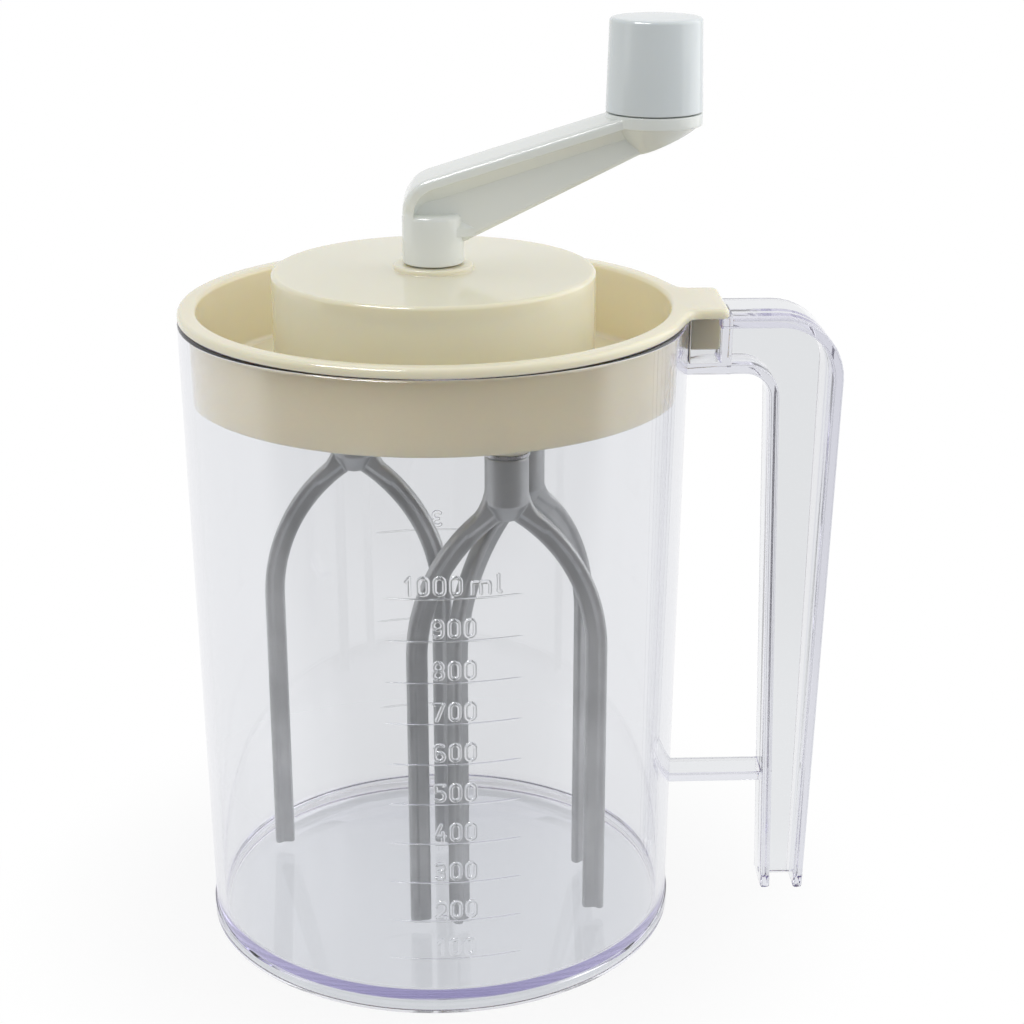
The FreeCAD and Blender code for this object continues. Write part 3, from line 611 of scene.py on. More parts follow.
outer_line = rounded([
    (ROOT_X - BURY, rim_z - half_strip), (out_x - half_strip, rim_z - half_strip, OUT_BEND - half_strip),
    (out_x - OUT_LEAN - half_strip, END_Z + END_ROUND)], closed=False)
inner_line = rounded([
    (ROOT_X - BURY, RUN_Z + half_strip), (IN_X + half_strip, RUN_Z + half_strip, IN_BEND + half_strip),
    (IN_X + IN_LEAN + half_strip, END_Z + END_ROUND)], closed=False)
outer_flange = sweep("outer_flange", outer_line, lambda here: strip_section(outer_width(here)), END_ROUND)
inner_flange = sweep("inner_flange", inner_line, lambda here: strip_section(WIDE_IN), END_ROUND)
print("outer flange is", round(outer_width(outer_line[-1]), 1), "mm wide at its foot")

# %% [markdown]
# ## The web, the key box and the strut
# The web fills the space between the flanges' middles. At the handle's root stands a box that is open on
# top, and the lid's key drops into it. Lower down a flat bar ties the handle to the wall. Each is a slab
# or a brick, pushed a little way into its neighbours so that the join has something to bite on.

# %% Web, key box and strut
WEB_END_Z = 3.0
BOX_END = 2.3
BOX_SIDE = 1.6
STRUT_Z = 33.0
STRUT_WIDE = 9.6


def down_to(line, z):
    """The line, with its last run ended at a height."""
    above, below = line[-2], line[-1]
    return line[:-1] + [above.lerp(below, (above.y - z) / (above.y - below.y))]


web_outline = down_to(outer_line, WEB_END_Z) + down_to(inner_line, WEB_END_Z)[::-1]
web = slab("handle_web", web_outline, half_strip, 0.3)
box_half = WIDE_IN / 2
key_box = brick("key_box", (rim_r - 1.2, -box_half, RUN_Z), (ROOT_X + BOX_END, box_half, rim_z))
pocket_half = box_half - BOX_SIDE
pocket = brick("pocket", (rim_r, -pocket_half, RUN_Z + STRIP), (ROOT_X, pocket_half, rim_z + 5), 0.4)
strut_line = [Vector((WALL_LOW_R - 0.9, STRUT_Z)), Vector((IN_X + IN_LEAN - 0.6 + half_strip, STRUT_Z))]
strut = sweep("strut", strut_line, lambda here: strip_section(STRUT_WIDE))
join_up(jar, [outer_flange, inner_flange, web, key_box, strut])
join_up(jar, [pocket], "DIFFERENCE")

# %% [markdown]
# ## The measuring scale: figures
# The scale is raised on the wall: a line for each step and plain rounded figures above it. Blender's text
# objects could write the figures, but their fonts are thin-edged and hard to wrap round a cone. A moulded
# figure is really a few strokes of one width, so each figure is listed here as the corners of its strokes.

# %% Figures as strokes
FIG_W = 2.1
FIG_H = 3.9
BOW = 1.0
mid_h = FIG_H * 0.5
LEGS = 2.6
STROKES = {
    "0": [(True, [(0, 0, BOW), (FIG_W, 0, BOW), (FIG_W, FIG_H, BOW), (0, FIG_H, BOW)])],
    "1": [(False, [(0.3, FIG_H - 0.8), (1.1, FIG_H), (1.1, 0)])],
    "2": [(False, [(0, FIG_H - 1.1), (0, FIG_H, BOW), (FIG_W, FIG_H, BOW), (FIG_W, mid_h, 0.8),
                   (0, 0), (FIG_W, 0)])],
    "3": [(False, [(0.1, FIG_H - 0.3), (0.6, FIG_H), (FIG_W, FIG_H, 0.9), (FIG_W, mid_h, 0.9), (0.7, mid_h)]),
          (False, [(0.7, mid_h), (FIG_W, mid_h, 0.9), (FIG_W, 0, 0.9), (0.6, 0), (0.1, 0.3)])],
    "4": [(False, [(1.2, FIG_H), (0, 1.1), (FIG_W, 1.1)]), (False, [(1.6, 2.0), (1.6, 0)])],
    "5": [(False, [(FIG_W, FIG_H), (0.1, FIG_H), (0.1, mid_h + 0.3), (FIG_W, mid_h + 0.3, BOW),
                   (FIG_W, 0, BOW), (0.6, 0), (0, 0.35)])],
    "6": [(True, [(0, 0, BOW), (FIG_W, 0, BOW), (FIG_W, mid_h + 0.1, BOW), (0, mid_h + 0.1, BOW)]),
          (False, [(0, 1.2), (0, FIG_H, BOW), (1.5, FIG_H), (1.95, FIG_H - 0.25)])],
    "7": [(False, [(0, FIG_H), (FIG_W, FIG_H), (0.6, 0)])],
    "8": [(True, [(0, 0, BOW), (FIG_W, 0, BOW), (FIG_W, mid_h, 0.9), (0, mid_h, 0.9)]),
          (True, [(0.1, mid_h, 0.9), (FIG_W - 0.1, mid_h, 0.9), (FIG_W - 0.1, FIG_H, 0.9),
                  (0.1, FIG_H, 0.9)])],
    "9": [(True, [(0, mid_h - 0.1, BOW), (FIG_W, mid_h - 0.1, BOW), (FIG_W, FIG_H, BOW), (0, FIG_H, BOW)]),
          (False, [(FIG_W, FIG_H - 1.2), (FIG_W, 0, BOW), (0.6, 0), (0.15, 0.25)])],
    "m": [(False, [(0, 0), (0, LEGS)]), (False, [(0, LEGS), (2.0, LEGS, 0.8), (2.0, 0)]),
          (False, [(2.0, LEGS), (4.0, LEGS, 0.8), (4.0, 0)])],
    "l": [(False, [(0, FIG_H), (0, 0.2), (0.5, 0)])],
}
STEP_ON = {"m": 5.9, "l": 0.8, " ": 1.05, "1": 3.05}
GLYPH_STEP = 3.6
print("figures:", " ".join(STROKES))

# %% [markdown]
# ## The measuring scale: strokes on the wall
# A stroke is a low round ridge. Seen through, a ridge acts as a tiny lens, which is why moulded figures
# show a light line along each side. Its section is an arc, it starts a little way inside the wall, and each
# of its points is wrapped onto the cone. A bump map could shade it, but would not bend the view behind it.

# %% Ridges wrapped on the cone
STROKE_HALF = 0.5
STROKE_RELIEF = 0.34
BITE = 0.15
ARC_POINTS = 7
CAP_TURNS = [math.radians(turn) for turn in (35, 62, 80)]
DOUBLED = 0.02
FADE_TIP = 0.3


def ridge(half, relief):
    """Points (offset, height) across a ridge: its two feet in the wall and the arc between them."""
    radius = (half ** 2 + relief ** 2) / (2 * relief)
    reach = math.asin(min(1.0, half / radius))
    arc = [reach * (2 * k / (ARC_POINTS - 1) - 1) for k in range(ARC_POINTS)]
    points = [(radius * math.sin(a), radius * (math.cos(a) - math.cos(reach))) for a in arc]
    return [(-half, -BITE)] + points + [(half, -BITE)]


def wrapped(across, z, height, turn):
    """A point of the scale, from its distance along the wall, its height and its relief."""
    radius = jar_outer(z) + height
    angle = turn + across / rim_r
    return (radius * math.cos(angle), radius * math.sin(angle), z)


def stroke(line, closed, turn, half=STROKE_HALF, relief=STROKE_RELIEF, fade=0.0):
    """One ridge along a line. Open ends are rounded, or fade out over a length."""
    line = [here for i, here in enumerate(line) if i == 0 or (here - line[i - 1]).length > DOUBLED]
    count = len(line)
    stations = []
    for i, here in enumerate(line):
        ahead = line[(i + 1) % count] if closed or i < count - 1 else here
        back = line[i - 1] if closed or i > 0 else here
        to_end = min((here - line[0]).length, (here - line[-1]).length)
        size = min(1.0, FADE_TIP + (1 - FADE_TIP) * to_end / fade) if fade else 1.0
        stations.append((here, (ahead - back).normalized(), size))
    if not closed and not fade:
        for end, sign in ((0, -1), (-1, 1)):
            here, along, _ = stations[end]
            caps = [(here + along * (sign * half * math.sin(a)), along, math.cos(a)) for a in CAP_TURNS]
            stations = caps[::-1] + stations if end == 0 else stations + caps
    rings = []
    for here, along, size in stations:
        side = Vector((-along.y, along.x))
        ring = [(here + side * (offset * size), height * (size if height > 0 else 1)) for offset, height in
                ridge(half, relief)]
        rings.append([wrapped(point.x, point.y, height, turn) for point, height in ring])
    return skin("stroke", rings, loop=closed)


print("a stroke is", 2 * STROKE_HALF, "mm wide and", STROKE_RELIEF, "mm proud")

# %% [markdown]
# ## The measuring scale: lines of text
# A figure is placed by shifting its strokes along the line and up to its mark. A ridge can't bend round a
# corner that is tighter than the ridge is wide: its inner side would fold over and leave a torn mesh. So a
# stroke with such a corner is made as two strokes that overlap there, and the join makes them one.

# %% Lines of text
TEXT_STEP = 0.8


def without_tight_corners(corners):
    """Open strokes from one, ended and begun again at each corner too tight for a ridge to bend round."""
    strokes = [[corners[0]]]
    for corner in corners[1:-1]:
        if len(corner) > 2 and corner[2] > STROKE_HALF:
            strokes[-1].append(corner)
        else:
            strokes[-1].append(corner[:2])
            strokes.append([corner[:2]])
    strokes[-1].append(corners[-1])
    return strokes


def figure_strokes(text, base_z, turn):
    """Ridges of a line of text, centred on a turn round the wall."""
    glyphs = []
    x = 0.0
    for letter in text:
        for closed, corners in STROKES.get(letter, []):
            placed = [(x + c[0], base_z + c[1], *c[2:]) for c in corners]
            for part in [placed] if closed else without_tight_corners(placed):
                glyphs.append((closed, rounded(part, closed)))
        x += STEP_ON.get(letter, GLYPH_STEP)
    left = min(p.x for _, line in glyphs for p in line)
    right = max(p.x for _, line in glyphs for p in line)
    made = []
    for closed, line in glyphs:
        line = [Vector((p.x - (left + right) / 2, p.y)) for p in line]
        line = spread(line + line[:1], TEXT_STEP)[:-1] if closed else spread(line, TEXT_STEP)
        made.append(stroke(line, closed, turn))
    return made


print("a line of text gets a point at least every", TEXT_STEP, "mm")

# %% [markdown]
# ## The measuring scale: marks
# In front stand ten marks, one for each 100 ml. On the far side four marks count cups, and through two clear
# walls they show faintly and the wrong way round. A mark is a thinner ridge that fades out at its ends. All
# ridges are joined to the jar, because a figure that floats on the wall would show a double edge.

# %% Marks, and the jar as one solid
MARK_FIRST_Z = 14.6
MARK_STEP = 10.05
MARK_HALF = 15.6
MARK_WIDE = 0.22
MARK_RELIEF = 0.2
MARK_FADE = 1.5
MARK_POINTS = 1.0
TEXT_RISE = 1.1
FRONT_TURN = math.radians(-90 + 3.3)
CUP_FIRST_Z = 26.5
CUP_STEP = 26.05
CUP_HALF = 12.8
BACK_TURN = math.radians(95)
CUP_TEXT_TURN = math.radians(90)


def mark(z, half_length, turn):
    """One level line of the scale, that fades out at both ends."""
    line = spread([Vector((-half_length, z)), Vector((half_length, z))], MARK_POINTS)
    return stroke(line, False, turn, MARK_WIDE, MARK_RELIEF, MARK_FADE)


ridges = []
for number in range(1, 11):
    z = MARK_FIRST_Z + MARK_STEP * (number - 1)
    ridges.append(mark(z, MARK_HALF, FRONT_TURN))
    ridges += figure_strokes(str(number * 100) + (" ml" if number == 10 else ""), z + TEXT_RISE, FRONT_TURN)
for cups in range(1, 5):
    z = CUP_FIRST_Z + CUP_STEP * (cups - 1)
    ridges.append(mark(z, CUP_HALF, BACK_TURN))
    ridges += figure_strokes(str(cups), z + TEXT_RISE, CUP_TEXT_TURN)
print("ridges of the scale:", len(ridges))
join_up(jar, ridges)

# %% [markdown]
# ## A true wall between the figures
# The joins cut the wall's long faces into pieces, and Blender would shade each piece from its own flat
# facets, which shows as steps in clear plastic. The wall is a cone, so its normal is known at every point.
# Those true normals are written onto the wall's faces as custom normals, and the rest keep their own.


# %% True normals for the wall
ON_WALL = 0.02
LEVEL = 0.2


def true_wall_normals(piece):
    """Writes the cone's own normals onto every face that lies on the wall, outside or inside."""
    mesh = piece.data
    normals = [corner.vector.copy() for corner in mesh.corner_normals]
    lean = (rim_r - WALL_LOW_R) / (rim_z - FOOT_H)
    fixed = 0
    for face in mesh.polygons:
        points = [mesh.vertices[i].co / MM for i in face.vertices]
        for radius_at, side in ((jar_outer, 1), (jar_inner, -1)):
            off_wall = max(abs(math.hypot(p.x, p.y) - radius_at(p.z)) for p in points)
            if off_wall > ON_WALL or min(p.z for p in points) < WALL_FOOT or abs(face.normal.z) > LEVEL:
                continue
            for corner, point in zip(face.loop_indices, points):
                out = Vector((point.x, point.y, -lean * math.hypot(point.x, point.y))).normalized()
                normals[corner] = out * side
            fixed += 1
    mesh.normals_split_custom_set(normals)
    print("faces with the wall's true normal:", fixed)


smooth(jar)
true_wall_normals(jar)
put_on(jar, "jar", crystal, ["jar"])

# %% [markdown]
# ## The lid: outline of its rim
# The lid is a deep ring-shaped well round a drum. Its rim lies on the jar, and a lug sticks out over the
# handle, so the rim isn't a circle. A lathe can't make it, and a boolean would leave hard seams in a soft
# rim. Instead the rim and the lug are one outline, and the lid is skinned from level rings that all have
# the same number of points: the inner rings are circles, and the outer ones follow that outline.

# %% Outline of the rim and the lug
LUG_END = 68.6
LUG_HALF = 11.7
LUG_CORNER = 2.0
LUG_ROOT = 3.5
LUG_POINTS = 1.2
ROOT_SHIFT = 0.9
RIM_START = math.radians(9)
RING_STEPS = 360
flange_r = rim_r - 0.1


def rim_outline():
    """Points of the rim's outline, seen from above: the lug, and then the long arc of the rim."""
    lug_start = math.sqrt(flange_r ** 2 - LUG_HALF ** 2)
    arc_start = math.asin(LUG_HALF / flange_r) + RIM_START
    first = Vector((math.cos(arc_start), math.sin(arc_start))) * flange_r
    root = lug_start + ROOT_SHIFT
    lug = spread(rounded([
        (first.x, -first.y), (root, -LUG_HALF, LUG_ROOT), (LUG_END, -LUG_HALF, LUG_CORNER),
        (LUG_END, LUG_HALF, LUG_CORNER), (root, LUG_HALF, LUG_ROOT), (first.x, first.y)],
        closed=False), LUG_POINTS)
    steps = RING_STEPS - len(lug) + 1
    turns = [arc_start + (2 * math.pi - 2 * arc_start) * k / steps for k in range(1, steps)]
    return lug + [Vector((math.cos(turn), math.sin(turn))) * flange_r for turn in turns]


rim_points = rim_outline()


def level(radius, z):
    """A circle of the lid, with its points at the same turns as the rim's outline."""
    return [(*(p.normalized() * radius), z) for p in rim_points]


def rim_level(inwards, z):
    """The rim's outline at a height, moved inwards."""
    return [(p.x, p.y, z) for p in inset(rim_points, inwards)]


print("each level ring has", len(rim_points), "points, and the lug reaches", LUG_END, "mm")

# %% [markdown]
# ## The lid: its profile
# Read from the shaft hole outwards, down into the well, up and over the rim and back underneath, this is
# the section that a lathe would cut. The rim rests on the jar's edge. It is drawn a fifth of a millimetre
# clear of it, because two faces in one plane would flicker, and because the air between them lets the
# jar's edge mirror light, which is the thin dark line below the rim.

# %% Lid shell
DRUM_R = 37.99
DRUM_Z = rim_z + 10.3
COLLAR_R = 9.4
BORE_R = 5.25
WELL_Z = skirt_z + 1.8
FLANGE_Z = rim_z + 2.5
RIM_ROUND = 1.1
RIM_GAP = 0.2
RIM_UNDER = 0.5
LID_WALL = 1.9
DRUM_WALL = 1.5
SKIRT_CLEAR = 0.35
rim_low_z = rim_z + RIM_GAP
skirt_top_r = rim_r - WALL - SKIRT_CLEAR
skirt_low_r = jar_outer(skirt_z) - WALL - SKIRT_CLEAR

inside_profile = rounded([
    (BORE_R, collar_z - 3), (BORE_R, collar_z, 0.3), (COLLAR_R, collar_z, 0.5), (COLLAR_R, DRUM_Z, 0.35),
    (DRUM_R, DRUM_Z, 1.0), (DRUM_R, WELL_Z, 1.2), (skirt_low_r - LID_WALL, WELL_Z, 1.5),
    (skirt_top_r - LID_WALL, FLANGE_Z, RIM_ROUND), (flange_r - RIM_ROUND, FLANGE_Z)], closed=False)
under_profile = rounded([
    (skirt_top_r, rim_low_z), (skirt_low_r, skirt_z, 0.5), (DRUM_R - DRUM_WALL, skirt_z, 0.3),
    (DRUM_R - DRUM_WALL, DRUM_Z - DRUM_WALL, 0.5), (BORE_R, DRUM_Z - DRUM_WALL)], closed=False)

lid_rings = [level(p.x, p.y) for p in inside_profile[:-1]]
for k in range(EDGE_STEPS + 2):
    angle = math.pi / 2 * k / (EDGE_STEPS + 1)
    drop = RIM_ROUND * (1 - math.cos(angle))
    lid_rings.append(rim_level(RIM_ROUND * (1 - math.sin(angle)), FLANGE_Z - drop))
for angle in (0, math.radians(30), math.radians(60), math.radians(90)):
    rise = RIM_UNDER * (1 - math.sin(angle))
    lid_rings.append(rim_level(RIM_UNDER * (1 - math.cos(angle)), rim_low_z + rise))
lid_rings += [level(p.x, p.y) for p in under_profile]
lid = skin("lid_shell", lid_rings, loop=True)
print("lid shell from", len(lid_rings), "rings")

# %% [markdown]
# ## The lid: its key
# A block under the lug drops into the handle's box and stops the lid from turning. It is its own brick,
# joined from below, because it touches the lid only on one face and needs no soft fillet there.

# %% Lid key
KEY_DEPTH = 9.0
KEY_CLEAR = 0.35
key_half = pocket_half - KEY_CLEAR
key_low = (rim_r + KEY_CLEAR, -key_half, rim_z - KEY_DEPTH)
key_high = (ROOT_X - KEY_CLEAR, key_half, rim_z + 1)
key = brick("lid_key", key_low, key_high, 0.5)
join_up(lid, [key])
smooth(lid)
put_on(lid, "lid", ivory, ["lid"])

# %% [markdown]
# ## The crank: hub and flange
# The crank is one moulding with a T-shaped section. Its wide top flange bends down and runs into the hub's
# back. The flange is swept, and its section changes on the way: flat and wide along the arm, and round at
# the foot, where it takes the hub's own curve so that no step is left between the two.

# %% Hub and top flange
ARM_END_X = 51.0
HUB_R = 7.25
HUB_TOP = crank_z + 11.8
HUB_ROUND = 1.3
ARM_HALF = 8.0
ARM_T = 2.6
ARM_TOP = crank_z + 21.2
ARM_SLOPE = math.tan(math.radians(16.75))
ARM_BEND = 9.0
FOOT_BLEND = 6.0
arm_mid = ARM_T / 2
back_x = 0.2 - HUB_R


def arm_top(x):
    """Height of the arm's top face."""
    return ARM_TOP + x * ARM_SLOPE


def off_hub(here):
    """0 beside the hub, rising to 1 where the flange has its full width."""
    return min(1.0, max(0.0, (here.y - HUB_TOP) / FOOT_BLEND))


def flange_section(here):
    """Section of the top flange: full width along the arm, and the hub's own width at the foot."""
    corners = [(-arm_mid, -ARM_HALF, 0.4), (arm_mid, -ARM_HALF, 1.2), (arm_mid, ARM_HALF, 1.2),
               (-arm_mid, ARM_HALF, 0.4)]
    share = off_hub(here)
    section = []
    for point in rounded(corners):
        hub_x = back_x + arm_mid - point.x
        hub_share = math.sqrt(max(0.0, HUB_R ** 2 - hub_x ** 2)) / ARM_HALF
        section.append((point.x, point.y * (hub_share + (1 - hub_share) * share)))
    return section


hub_outline = rounded([(0, crank_z), (HUB_R, crank_z, 0.5), (HUB_R, HUB_TOP, HUB_ROUND), (0, HUB_TOP)])
crank = lathe("crank_arm_body", hub_outline, 128)
flange_line = rounded([
    (back_x + arm_mid, HUB_TOP - 2), (back_x + arm_mid, arm_top(back_x) - arm_mid, ARM_BEND - arm_mid),
    (ARM_END_X - 2, arm_top(ARM_END_X - 2) - arm_mid)], closed=False)
flange_line = spread(flange_line, 1.0)
arm_flange = sweep("arm_flange", flange_line, flange_section)
print("flange", 2 * ARM_HALF, "mm wide, hub", 2 * HUB_R, "mm across")

# %% [markdown]
# ## The crank: web, disc and cone
# Under the flange stands a deep web with a rounded lower edge. At the arm's end it carries the disc that the
# knob stands on, through a cone that thins out into the web. The cone is turned whole, and a slab that
# stands for the space under the arm then cuts it off along the web's lower edge.

# %% Web, disc and cone
ARM_FOOT = crank_z + 5.0
WEB_HALF = 3.0
WEB_ROUND = 1.6
DISC_R = 11.2
DISC_Z = crank_high.z
DISC_T = 2.9
CONE_R = 10.3
CONE_H = 7.0
OVERLAP = 0.3
DISC_STEPS = 160
disc_low = DISC_Z - DISC_T
web_end = ARM_END_X + DISC_R - 0.4
under_slope = (disc_low - ARM_FOOT) / (web_end - HUB_R)
web_x = back_x + 1.2
arm_web_outline = rounded([
    (web_x, ARM_FOOT), (HUB_R, ARM_FOOT, 1.0), (web_end, disc_low + 0.2), (web_end, DISC_Z - 0.6),
    (ARM_END_X, arm_top(ARM_END_X) - arm_mid), (web_x, arm_top(web_x) - arm_mid, ARM_BEND - arm_mid)])
arm_web = slab("arm_web", arm_web_outline, WEB_HALF, WEB_ROUND)
disc_outline = rounded([(0, disc_low), (DISC_R, disc_low, 0.5), (DISC_R, DISC_Z, 0.3), (0, DISC_Z)])
disc = lathe("disc", disc_outline, DISC_STEPS, (ARM_END_X, 0))
cone = lathe("cone", rounded([
    (0, disc_low - CONE_H), (CONE_R - CONE_H, disc_low - CONE_H), (CONE_R + OVERLAP, disc_low + OVERLAP),
    (0, disc_low + OVERLAP)]), DISC_STEPS, (ARM_END_X, 0))
under_arm = slab("under_arm", [
    Vector((HUB_R, ARM_FOOT + 0.25)), Vector((HUB_R, ARM_FOOT - 20)), Vector((web_end + 6, ARM_FOOT - 20)),
    Vector((web_end + 6, disc_low + 0.25 + 6 * under_slope))], 20, 0.1)
join_up(cone, [under_arm], "DIFFERENCE")
print("disc", 2 * DISC_R, "mm across, web", 2 * WEB_HALF, "mm thick")

# %% [markdown]
# ## The crank: bevels and fillets
# A straight 45 degree bevel fills the corner between flange and web. It faces down to the ivory lid and picks
# up its colour. A small fillet leads the hub's round side into the web. All of it is joined with crisp
# seams, as a mould has them, and nothing is remeshed, which would blur the seams.

# %% Bevels and fillets
BEVEL = 3.0
BEVEL_START = 0.3
BEVEL_SINK = 0.4
ROOT_TURN = 42
ROOT_REACH = 2.4
ROOT_FADE = 2.0
ROOT_SINK = 0.1
under_line = spread(rounded([
    (back_x + ARM_T, HUB_TOP - 1), (back_x + ARM_T, arm_top(back_x) - ARM_T, ARM_BEND - ARM_T),
    (ARM_END_X - 4, arm_top(ARM_END_X - 4) - ARM_T)], closed=False), 1.0)


def bevel_section(side):
    """Section of the bevel on one side of the web. It grows from nothing at the hub."""
    def section(here):
        reach = BEVEL_START + (BEVEL - BEVEL_START) * off_hub(here)
        near, far = side * (WEB_HALF - BEVEL_SINK), side * (WEB_HALF + reach + BEVEL_SINK)
        return [(BEVEL_SINK, near), (BEVEL_SINK, far), (-reach - BEVEL_SINK, near)]
    return section


def web_root(side):
    """A fillet between the hub and one face of the web. It fades out below the hub's top."""
    turn = math.radians(ROOT_TURN)
    on_hub = Vector((HUB_R * math.cos(turn), side * HUB_R * math.sin(turn)))
    on_web = Vector((HUB_R + ROOT_REACH, side * (WEB_HALF - ROOT_SINK)))
    inside = Vector((HUB_R * math.cos(turn), side * (WEB_HALF - ROOT_SINK)))
    corners = (on_hub, on_web, inside)
    faded = [p.lerp(inside, 0.95) for p in corners]
    levels = [(ARM_FOOT + WEB_ROUND, corners), (HUB_TOP - HUB_ROUND - ROOT_FADE, corners),
              (HUB_TOP - HUB_ROUND, faded)]
    return skin("web_root", [[(p.x, p.y, z) for p in points] for z, points in levels])


bevels = [sweep("bevel", under_line, bevel_section(side)) for side in (-1, 1)]
join_up(crank, [arm_flange, arm_web, disc, cone] + bevels + [web_root(1), web_root(-1)])
smooth(crank)
put_on(crank, "crank", crank_white_painted_bounce, ["crank_arm"])

# %% [markdown]
# ## The knob
# The knob is a hollow, slightly tapered cup turned upside down, and it spins on its own pin. It is turned as
# one closed shell with its hollow, because the pin and its ring show when the model is cut or lifted. Its
# lower edge has a small radius, which makes the thin dark seam where it stands on the disc.

# %% Knob
KNOB_TAPER = 0.6
KNOB_SHELL = 2.0
KNOB_TOP_EDGE = 0.9
KNOB_EDGE = 0.3
knob_r = (knob_high.x - knob_low.x) / 2
knob_top_r = knob_r - KNOB_TAPER
hollow_r = knob_top_r - KNOB_SHELL + 0.4
knob = lathe("knob_shell", rounded([
    (0, knob_high.z), (knob_top_r, knob_high.z, KNOB_TOP_EDGE), (knob_r, knob_low.z, KNOB_EDGE),
    (hollow_r, knob_low.z, KNOB_EDGE), (hollow_r, knob_high.z - KNOB_SHELL, 1.0),
    (0, knob_high.z - KNOB_SHELL)]), 192, (ARM_END_X, 0))
smooth(knob)
put_on(knob, "knob", knob_white, ["knob"])

# %% [markdown]
# ## The beater forks: one casting
# Each fork is one casting: a round stem that splits into two curved tines. A tine has a thick rib along its
# outside and a thinner band inside it, and a shallow step runs between them. One arm is swept and mirrored.
# A casting has soft inner corners everywhere, so here the joined fork is remeshed and relaxed a little.

# %% One fork
ARCH_R = 43.6
TINE_W = 5.0
RIB_W = 2.0
RIB_HALF = 1.95
BAND_HALF = 1.25
REACH = 23.825
ARCH_Z = 77.31
TINE_Z = 7.5
STEM_R = 5.1
STEM_LOW = 114.4
SHOULDER_Z = 127.0
SHOULDER_X = 11.0
SHOULDER_R = 12.0
FORK_GRAIN = 0.27
FORK_ROUNDS = 3
PAST_AXIS = 0.4
TINE_POINTS = 24
ARCH_POINTS = 32
tine_x = REACH - TINE_W / 2
arch_turn = math.acos((ARCH_R - tine_x - PAST_AXIS) / ARCH_R)


def fork_line(side):
    """Middle line of one tine, from its end up and over to the stem."""
    points = [Vector((tine_x, TINE_Z + (ARCH_Z - TINE_Z) * k / TINE_POINTS)) for k in range(TINE_POINTS)]
    for k in range(ARCH_POINTS + 1):
        a = arch_turn * k / ARCH_POINTS
        points.append(Vector((tine_x - ARCH_R + ARCH_R * math.cos(a), ARCH_Z + ARCH_R * math.sin(a))))
    return [Vector((side * p.x, p.y)) for p in points]


def tine_section(side):
    """Rib outside, band inside. Across the line, the outside is on the negative side for the right arm."""
    out = -side * TINE_W / 2
    step = -side * (TINE_W / 2 - RIB_W)
    corners = [
        (out, -RIB_HALF, 0.95), (step, -RIB_HALF, 0.7), (step, -BAND_HALF, 0.3), (-out, -BAND_HALF, 0.9),
        (-out, BAND_HALF, 0.9), (step, BAND_HALF, 0.3), (step, RIB_HALF, 0.7), (out, RIB_HALF, 0.95)]
    return [tuple(point) for point in rounded(corners)]


def shoulder(side):
    """A flat fillet that leads the stem's side into the outer edge of an arm."""
    outer_edge = ARCH_R + TINE_W / 2

    def edge_z(x):
        return ARCH_Z + math.sqrt(outer_edge ** 2 - (x - tine_x + ARCH_R) ** 2)

    outline = rounded([
        (0, SHOULDER_Z - 3), (STEM_R - 0.2, SHOULDER_Z - 3), (STEM_R - 0.2, edge_z(STEM_R) - 0.1, SHOULDER_R),
        (SHOULDER_X, edge_z(SHOULDER_X) - 0.1), (SHOULDER_X - 2, edge_z(SHOULDER_X) - 1.6), (0, STEM_LOW)])
    return slab("shoulder", [Vector((side * p.x, p.y)) for p in outline], RIB_HALF, 0.9)


fork_shape = lathe("fork", rounded([
    (0, STEM_LOW - 3.2), (2.4, STEM_LOW - 3.2, 1.0), (STEM_R, STEM_LOW + 1.0, 1.0), (STEM_R, SHOULDER_Z, 0.5),
    (3.0, SHOULDER_Z, 0.2), (3.0, SHOULDER_Z + 4), (0, SHOULDER_Z + 4)]), 64)
join_up(fork_shape, [sweep("arm", fork_line(side), lambda here: tine_section(side)) for side in (1, -1)]
        + [shoulder(1), shoulder(-1)])
soften(fork_shape, FORK_GRAIN, FORK_ROUNDS)
print("fork reaches", REACH, "mm from its axis")

# %% [markdown]
# ## The beater forks: three places
# The three forks come from one mould, so the shape is copied and turned to its place. Two stand opposite
# each other beside the crank's axis, and the third stands in front of the right one, square to it, so that
# their tines pass through each other's path like an egg beater's.

# %% Three forks in their places
BEATER_CIRCLE = 24.375
LEFT_TURN = 146.6
FRONT_STEP = 12.0
FRONT_TURN_BACK = -110.8


def at_turn(radius, degrees):
    """A point at a radius and a turn round the upright axis."""
    return Vector((math.cos(math.radians(degrees)), math.sin(math.radians(degrees)))) * radius


left_at = at_turn(BEATER_CIRCLE, LEFT_TURN)
right_at = -left_at
front_at = right_at + at_turn(FRONT_STEP, FRONT_TURN_BACK)
FORKS = {"left": (left_at, -2.2), "right": (right_at, 42.1), "front": (front_at, 6.3)}
for name, (at, plane) in FORKS.items():
    fork = add_piece("fork_" + name, fork_shape.data.copy())
    place = Matrix.Translation(Vector((at.x, at.y, 0)) * MM)
    fork.data.transform(place @ Matrix.Rotation(math.radians(plane), 4, "Z"))
    put_on(fork, "beater_" + name, fork_metal, ["beater_" + name])
bpy.data.objects.remove(fork_shape)

# %% [markdown]
# ## The gear train
# Gears, shafts, rings and screws keep the frame's own meshes, because those are exact and a rebuilt gear
# could only be worse. Assigning a material and smooth shading is all that these pieces need.

